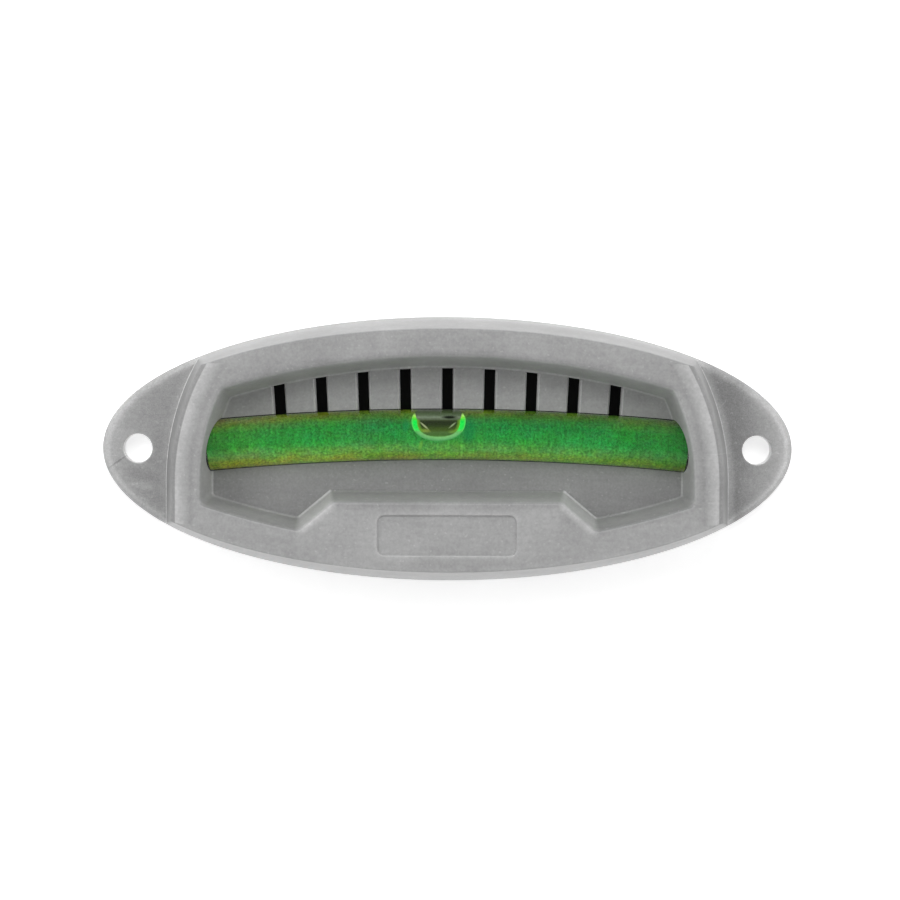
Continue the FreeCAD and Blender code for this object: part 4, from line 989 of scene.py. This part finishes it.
borders = []
for grid in (front_grid, back_grid):
    for lower, upper in zip(grid, grid[1:]):
        skirt(made, lower, upper, closed=False)
    right, left = [row[-1] for row in grid[1:-1]], [row[0] for row in grid[-2:0:-1]]
    borders.append([*grid[0], *right, *reversed(grid[-1]), *left])
skirt(made, *borders)
bubble = new_piece("air_bubble_shell", made)
to_smooth_metres(bubble)
spot = vial_place(BUBBLE_TURN, 0)
bubble.location = Vector((spot.x, -floor_front, spot.y)) * MM
bubble.rotation_euler = (0, BUBBLE_TURN, 0)

# Air in dyed spirit, its light painted on: the light that its ends gather is painted as vivid green
# crescents, the light under it as a pale green arc, and its middle is painted with the dark floor and,
# above, the grey of the tray that it shows.
air, place = new_material("air_in_dyed_spirit")
across = add(air, "SeparateXYZ", [place]).outputs["X"]
height = add(air, "Attribute", attribute_name="seen_height").outputs["Fac"]
share = add(air, "Attribute", attribute_name="ring_share").outputs["Fac"]
place = add(air, "CombineXYZ", {"X": across, "Z": height})
tall = {"From Min": (BUBBLE_MIDDLE - BUBBLE_DROP) * MM, "From Max": VIAL_RADIUS * MM}
climb = add(air, "MapRange", {"Value": height, **tall})
painted_core_tints = [
    (0.15, "4A7430"), (0.22, "3E602A"), (0.28, "476630"), (0.34, "3E5418"),
    (0.47, "28380F"), (0.53, "1E2C0A"), (0.61, "1E2A0C"), (0.64, "303C1C"),
    (0.745, "788470"), (0.81, "58684E"), (0.9, "465636"), (0.99, "505A46"),
]
tint = add(air, "ValToRGB", {"Fac": climb}, stops=painted_core_tints)

# Over its core are painted a dark dash of shade, two pale slanting glints as painted highlights and
# two soft green patches of painted light.
painted_core_marks = [
    (2.05, 3.22, 0.0, 3.5, 0.75, "060C02", 1.0),
    (-2.68, 1.65, -40.9, 2.6, 0.42, "A4AC80", 0.8),
    (2.6, 1.75, 39.2, 2.1, 0.38, "94A87C", 0.75),
    (-2.4, 0.75, -6.7, 2.2, 0.8, "92A646", 0.5),
    (2.5, 0.6, 8.0, 1.6, 0.9, "6E9038", 0.4),
]
tint = marked(air, place, tint, painted_core_marks)
# Low in the core, near the ring, a paler green of gathered light is painted in.
at_ends = {"Value": height, "From Min": 0.1 * MM, "From Max": 1.0 * MM}
at_ends = add(air, "MapRange", at_ends, interpolation_type="SMOOTHSTEP")
under_band = {"Value": climb, "From Min": 0.72, "From Max": 0.64, "To Max": 0.85}
under_band = add(air, "MapRange", under_band)
near_ring = add(air, "MapRange", {"Value": share, "From Min": -0.9, "From Max": -0.1})
for mask in (at_ends, under_band):
    near_ring = add(air, "Math", [near_ring, mask], operation="MULTIPLY")
tint = add(air, "Mix", {"Factor": near_ring, "A": tint, "B": linear("6CA02C")}, data_type="RGBA")
PAINTED_CRESCENT_GLOW, BORDER_STRENGTH = 0.12, 0.7
painted_crescent_tints = [
    (0.3, "4CB84C"), (0.36, "38D052"), (0.42, "18D848"), (0.62, "08DA46"),
    (0.69, "48D63C"), (0.75, "84DC42"), (0.81, "B4E674"), (0.88, "6C8E3E"),
]
crescent_tint = add(air, "ValToRGB", {"Fac": climb}, stops=painted_crescent_tints)
painted_arc_tints = [(0.0, "6EA862"), (0.3, "74B46C"), (0.7, "62AA68"), (1.0, "3C9148")]
arc_tint = add(air, "ValToRGB", {"Fac": share}, stops=painted_arc_tints)
border = add(air, "MapRange", {"Value": share, "From Min": 0.74, "From Max": 0.92})
border = add(air, "Math", [border, BORDER_STRENGTH], operation="MULTIPLY")
bordered = {"Factor": border, "A": crescent_tint, "B": linear("5CC45C")}
bordered = add(air, "Mix", bordered, data_type="RGBA")
ring_tint = add(air, "Mix", {"Factor": at_ends, "A": arc_tint, "B": bordered}, data_type="RGBA")
in_ring = add(air, "MapRange", {"Value": share, "From Min": -0.05, "From Max": 0.12})
tint = add(air, "Mix", {"Factor": in_ring, "A": tint, "B": ring_tint}, data_type="RGBA")
# The crescents' painted glow: light painted in as a faint emission, though they are no lamp.
gathered = add(air, "Math", [in_ring, at_ends], operation="MULTIPLY")
painted_glow = add(air, "Math", [gathered, PAINTED_CRESCENT_GLOW], operation="MULTIPLY")
light = {"Emission Color": tint, "Emission Strength": painted_glow}
bubble_skin = {"Base Color": tint, "Roughness": 0.4, "Specular IOR Level": 0.0, **light}
finish_with(air, add(air, "BsdfPrincipled", bubble_skin), bubble)
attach(bubble, "bubble")
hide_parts("air_bubble")


# Backing strip and back cover: black ABS. The strip stands behind the tick slots and makes them
# read as black lines, and the cover snaps into the rebate and closes the hollow.
abs_plastic, place = new_material("moulded_black_abs")
grain = add(abs_plastic, "TexNoise", {"Vector": place, "Scale": 1 / (0.4 * MM), "Detail": 2.0})
clouds = add(abs_plastic, "TexNoise", {"Vector": place, "Scale": 1 / (12 * MM), "Detail": 3.0})
black = add(abs_plastic, "ValToRGB", {"Fac": clouds}, stops=[(0.3, "030303"), (0.7, "070707")])
satin = {"Value": grain, **NOISE_SPAN, "To Min": 0.5, "To Max": 0.62}
satin = add(abs_plastic, "MapRange", satin)
relief = add(abs_plastic, "Bump", {"Height": grain, "Strength": 0.25, "Distance": 0.04 * MM})
dull = {"Roughness": satin, "IOR": 1.54, "Specular IOR Level": 0.1, "Normal": relief}
dull_black = add(abs_plastic, "BsdfPrincipled", {"Base Color": black, **dull})
for name in ("scale_backing", "back_cover"):
    finish_with(abs_plastic, dull_black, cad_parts[name])


# The wall that the level is screwed to: white paper, which keeps the level's soft shadow. It is open
# to the eye from behind and to the light that the level's back gets there, so that the back shows.
WALL_HALF_WIDTH, WALL_GAP, PAPER_GLOW, BACK_LIGHT_REACH = 3000, 0.2, 0.47, 0.6
paper_mesh = bpy.data.meshes.new("backdrop")
low, high, gap = -WALL_HALF_WIDTH * MM, WALL_HALF_WIDTH * MM, WALL_GAP * MM
corners = [(low, gap, low), (high, gap, low), (high, gap, high), (low, gap, high)]
paper_mesh.from_pydata(corners, [], [(0, 1, 2, 3)])
wall = placed("backdrop", paper_mesh)
paper, place = new_material("white_paper")
fibres = add(paper, "TexNoise", {"Vector": place, "Scale": 1 / (2 * MM)})
pulp = add(paper, "ValToRGB", {"Fac": fibres}, stops=[(0.3, "ECECEC"), (0.7, "F0F0F0")])
lit = add(paper, "BsdfDiffuse", {"Color": pulp})
bright = add(paper, "Emission", {"Color": (1, 1, 1, 1), "Strength": PAPER_GLOW})
seen = add(paper, "AddShader", [lit, bright])
ray = add(paper, "LightPath").outputs
shown = ray["Is Camera Ray"]
for kind in ("Is Glossy Ray", "Is Transmission Ray"):
    shown = add(paper, "Math", [shown, ray[kind]], operation="MAXIMUM")
front = add(paper, "MixShader", [shown, lit, seen])
behind = add(paper, "NewGeometry").outputs["Backfacing"]
from_back = add(paper, "Math", [ray["Ray Length"], BACK_LIGHT_REACH * MM], operation="LESS_THAN")
open_to = add(paper, "Math", [behind, from_back], operation="MAXIMUM")
through = add(paper, "BsdfTransparent")
finish_with(paper, add(paper, "MixShader", [open_to, front, through]), wall)


# Studio light: a room that lights faintly and that the camera sees pale, soft lamps round the level,
# low strips that skim the wall and light the housing's sloping sides, and two lamps for its back.
ROOM_LIGHT, ROOM_SEEN, LAMP_DISTANCE = 0.36, 0.95, 0.7
world = bpy.data.worlds.new("studio")
bpy.context.scene.world = world
world.use_nodes = True
room = world.node_tree.nodes["Background"].inputs
room["Color"].default_value = (1, 1, 1, 1)
ray = add(world, "LightPath").outputs
kinds = [ray["Is Camera Ray"], ray["Is Transmission Ray"]]
shown = add(world, "Math", kinds, operation="MAXIMUM")
strength = add(world, "MapRange", {"Value": shown, "To Min": ROOM_LIGHT, "To Max": ROOM_SEEN})
world.node_tree.links.new(strength.outputs[0], room["Strength"])

# Each lamp's turn about the line of sight, its lean from it, its size in metres and its power.
for name, turn, lean, size, power in (
    ("top", 88, 44, 0.5, 1.9),
    ("left", 158, 58, 0.5, 1.9),
    ("bottom", 270, 50, 0.5, 0.6),
    ("right", 22, 58, 0.5, 1.3),
    ("low_top", 90, 82, 0.15, 1.2),
    ("low_bottom", 270, 85, 0.08, 1.1),
    ("back_high", 60, 135, 0.5, 1.9),
    ("back_side", 190, 135, 0.5, 1.9),
):
    light = bpy.data.lights.new(name, "AREA")
    light.shape, light.size, light.energy = "DISK", size, power
    lamp = placed(name, light)
    turn, lean = radians(turn), radians(lean)
    away = Vector((cos(turn) * sin(lean), -cos(lean), sin(turn) * sin(lean)))
    lamp.location = away * LAMP_DISTANCE
    lamp.rotation_mode = "QUATERNION"
    lamp.rotation_quaternion = away.to_track_quat("Z", "Y")
    lamp.visible_glossy = False

# The camera looks almost straight at the face from half a metre, a little from above.
DISTANCE, RISE, ROLL = 520.0, radians(1.3), radians(0.204)
FRAME_SCALE, HALF_FRAME, SENSOR = 5.216, 450, 36
camera = placed("camera", bpy.data.cameras.new("camera"))
bpy.context.scene.camera = camera
aim = Vector((0.508, 0, -0.227))
back = Vector((0, -cos(RISE), sin(RISE)))
camera.location = (aim + back * DISTANCE) * MM
camera.data.sensor_width = SENSOR
camera.data.lens = SENSOR / 2 * DISTANCE / (HALF_FRAME / FRAME_SCALE)
camera.data.clip_start = 0.01
camera.rotation_mode = "QUATERNION"
facing = back.to_track_quat("Z", "Y").to_matrix() @ Matrix.Rotation(ROLL, 3, "Z")
camera.rotation_quaternion = facing.to_quaternion()
bpy.context.scene.view_settings.view_transform = "Standard"
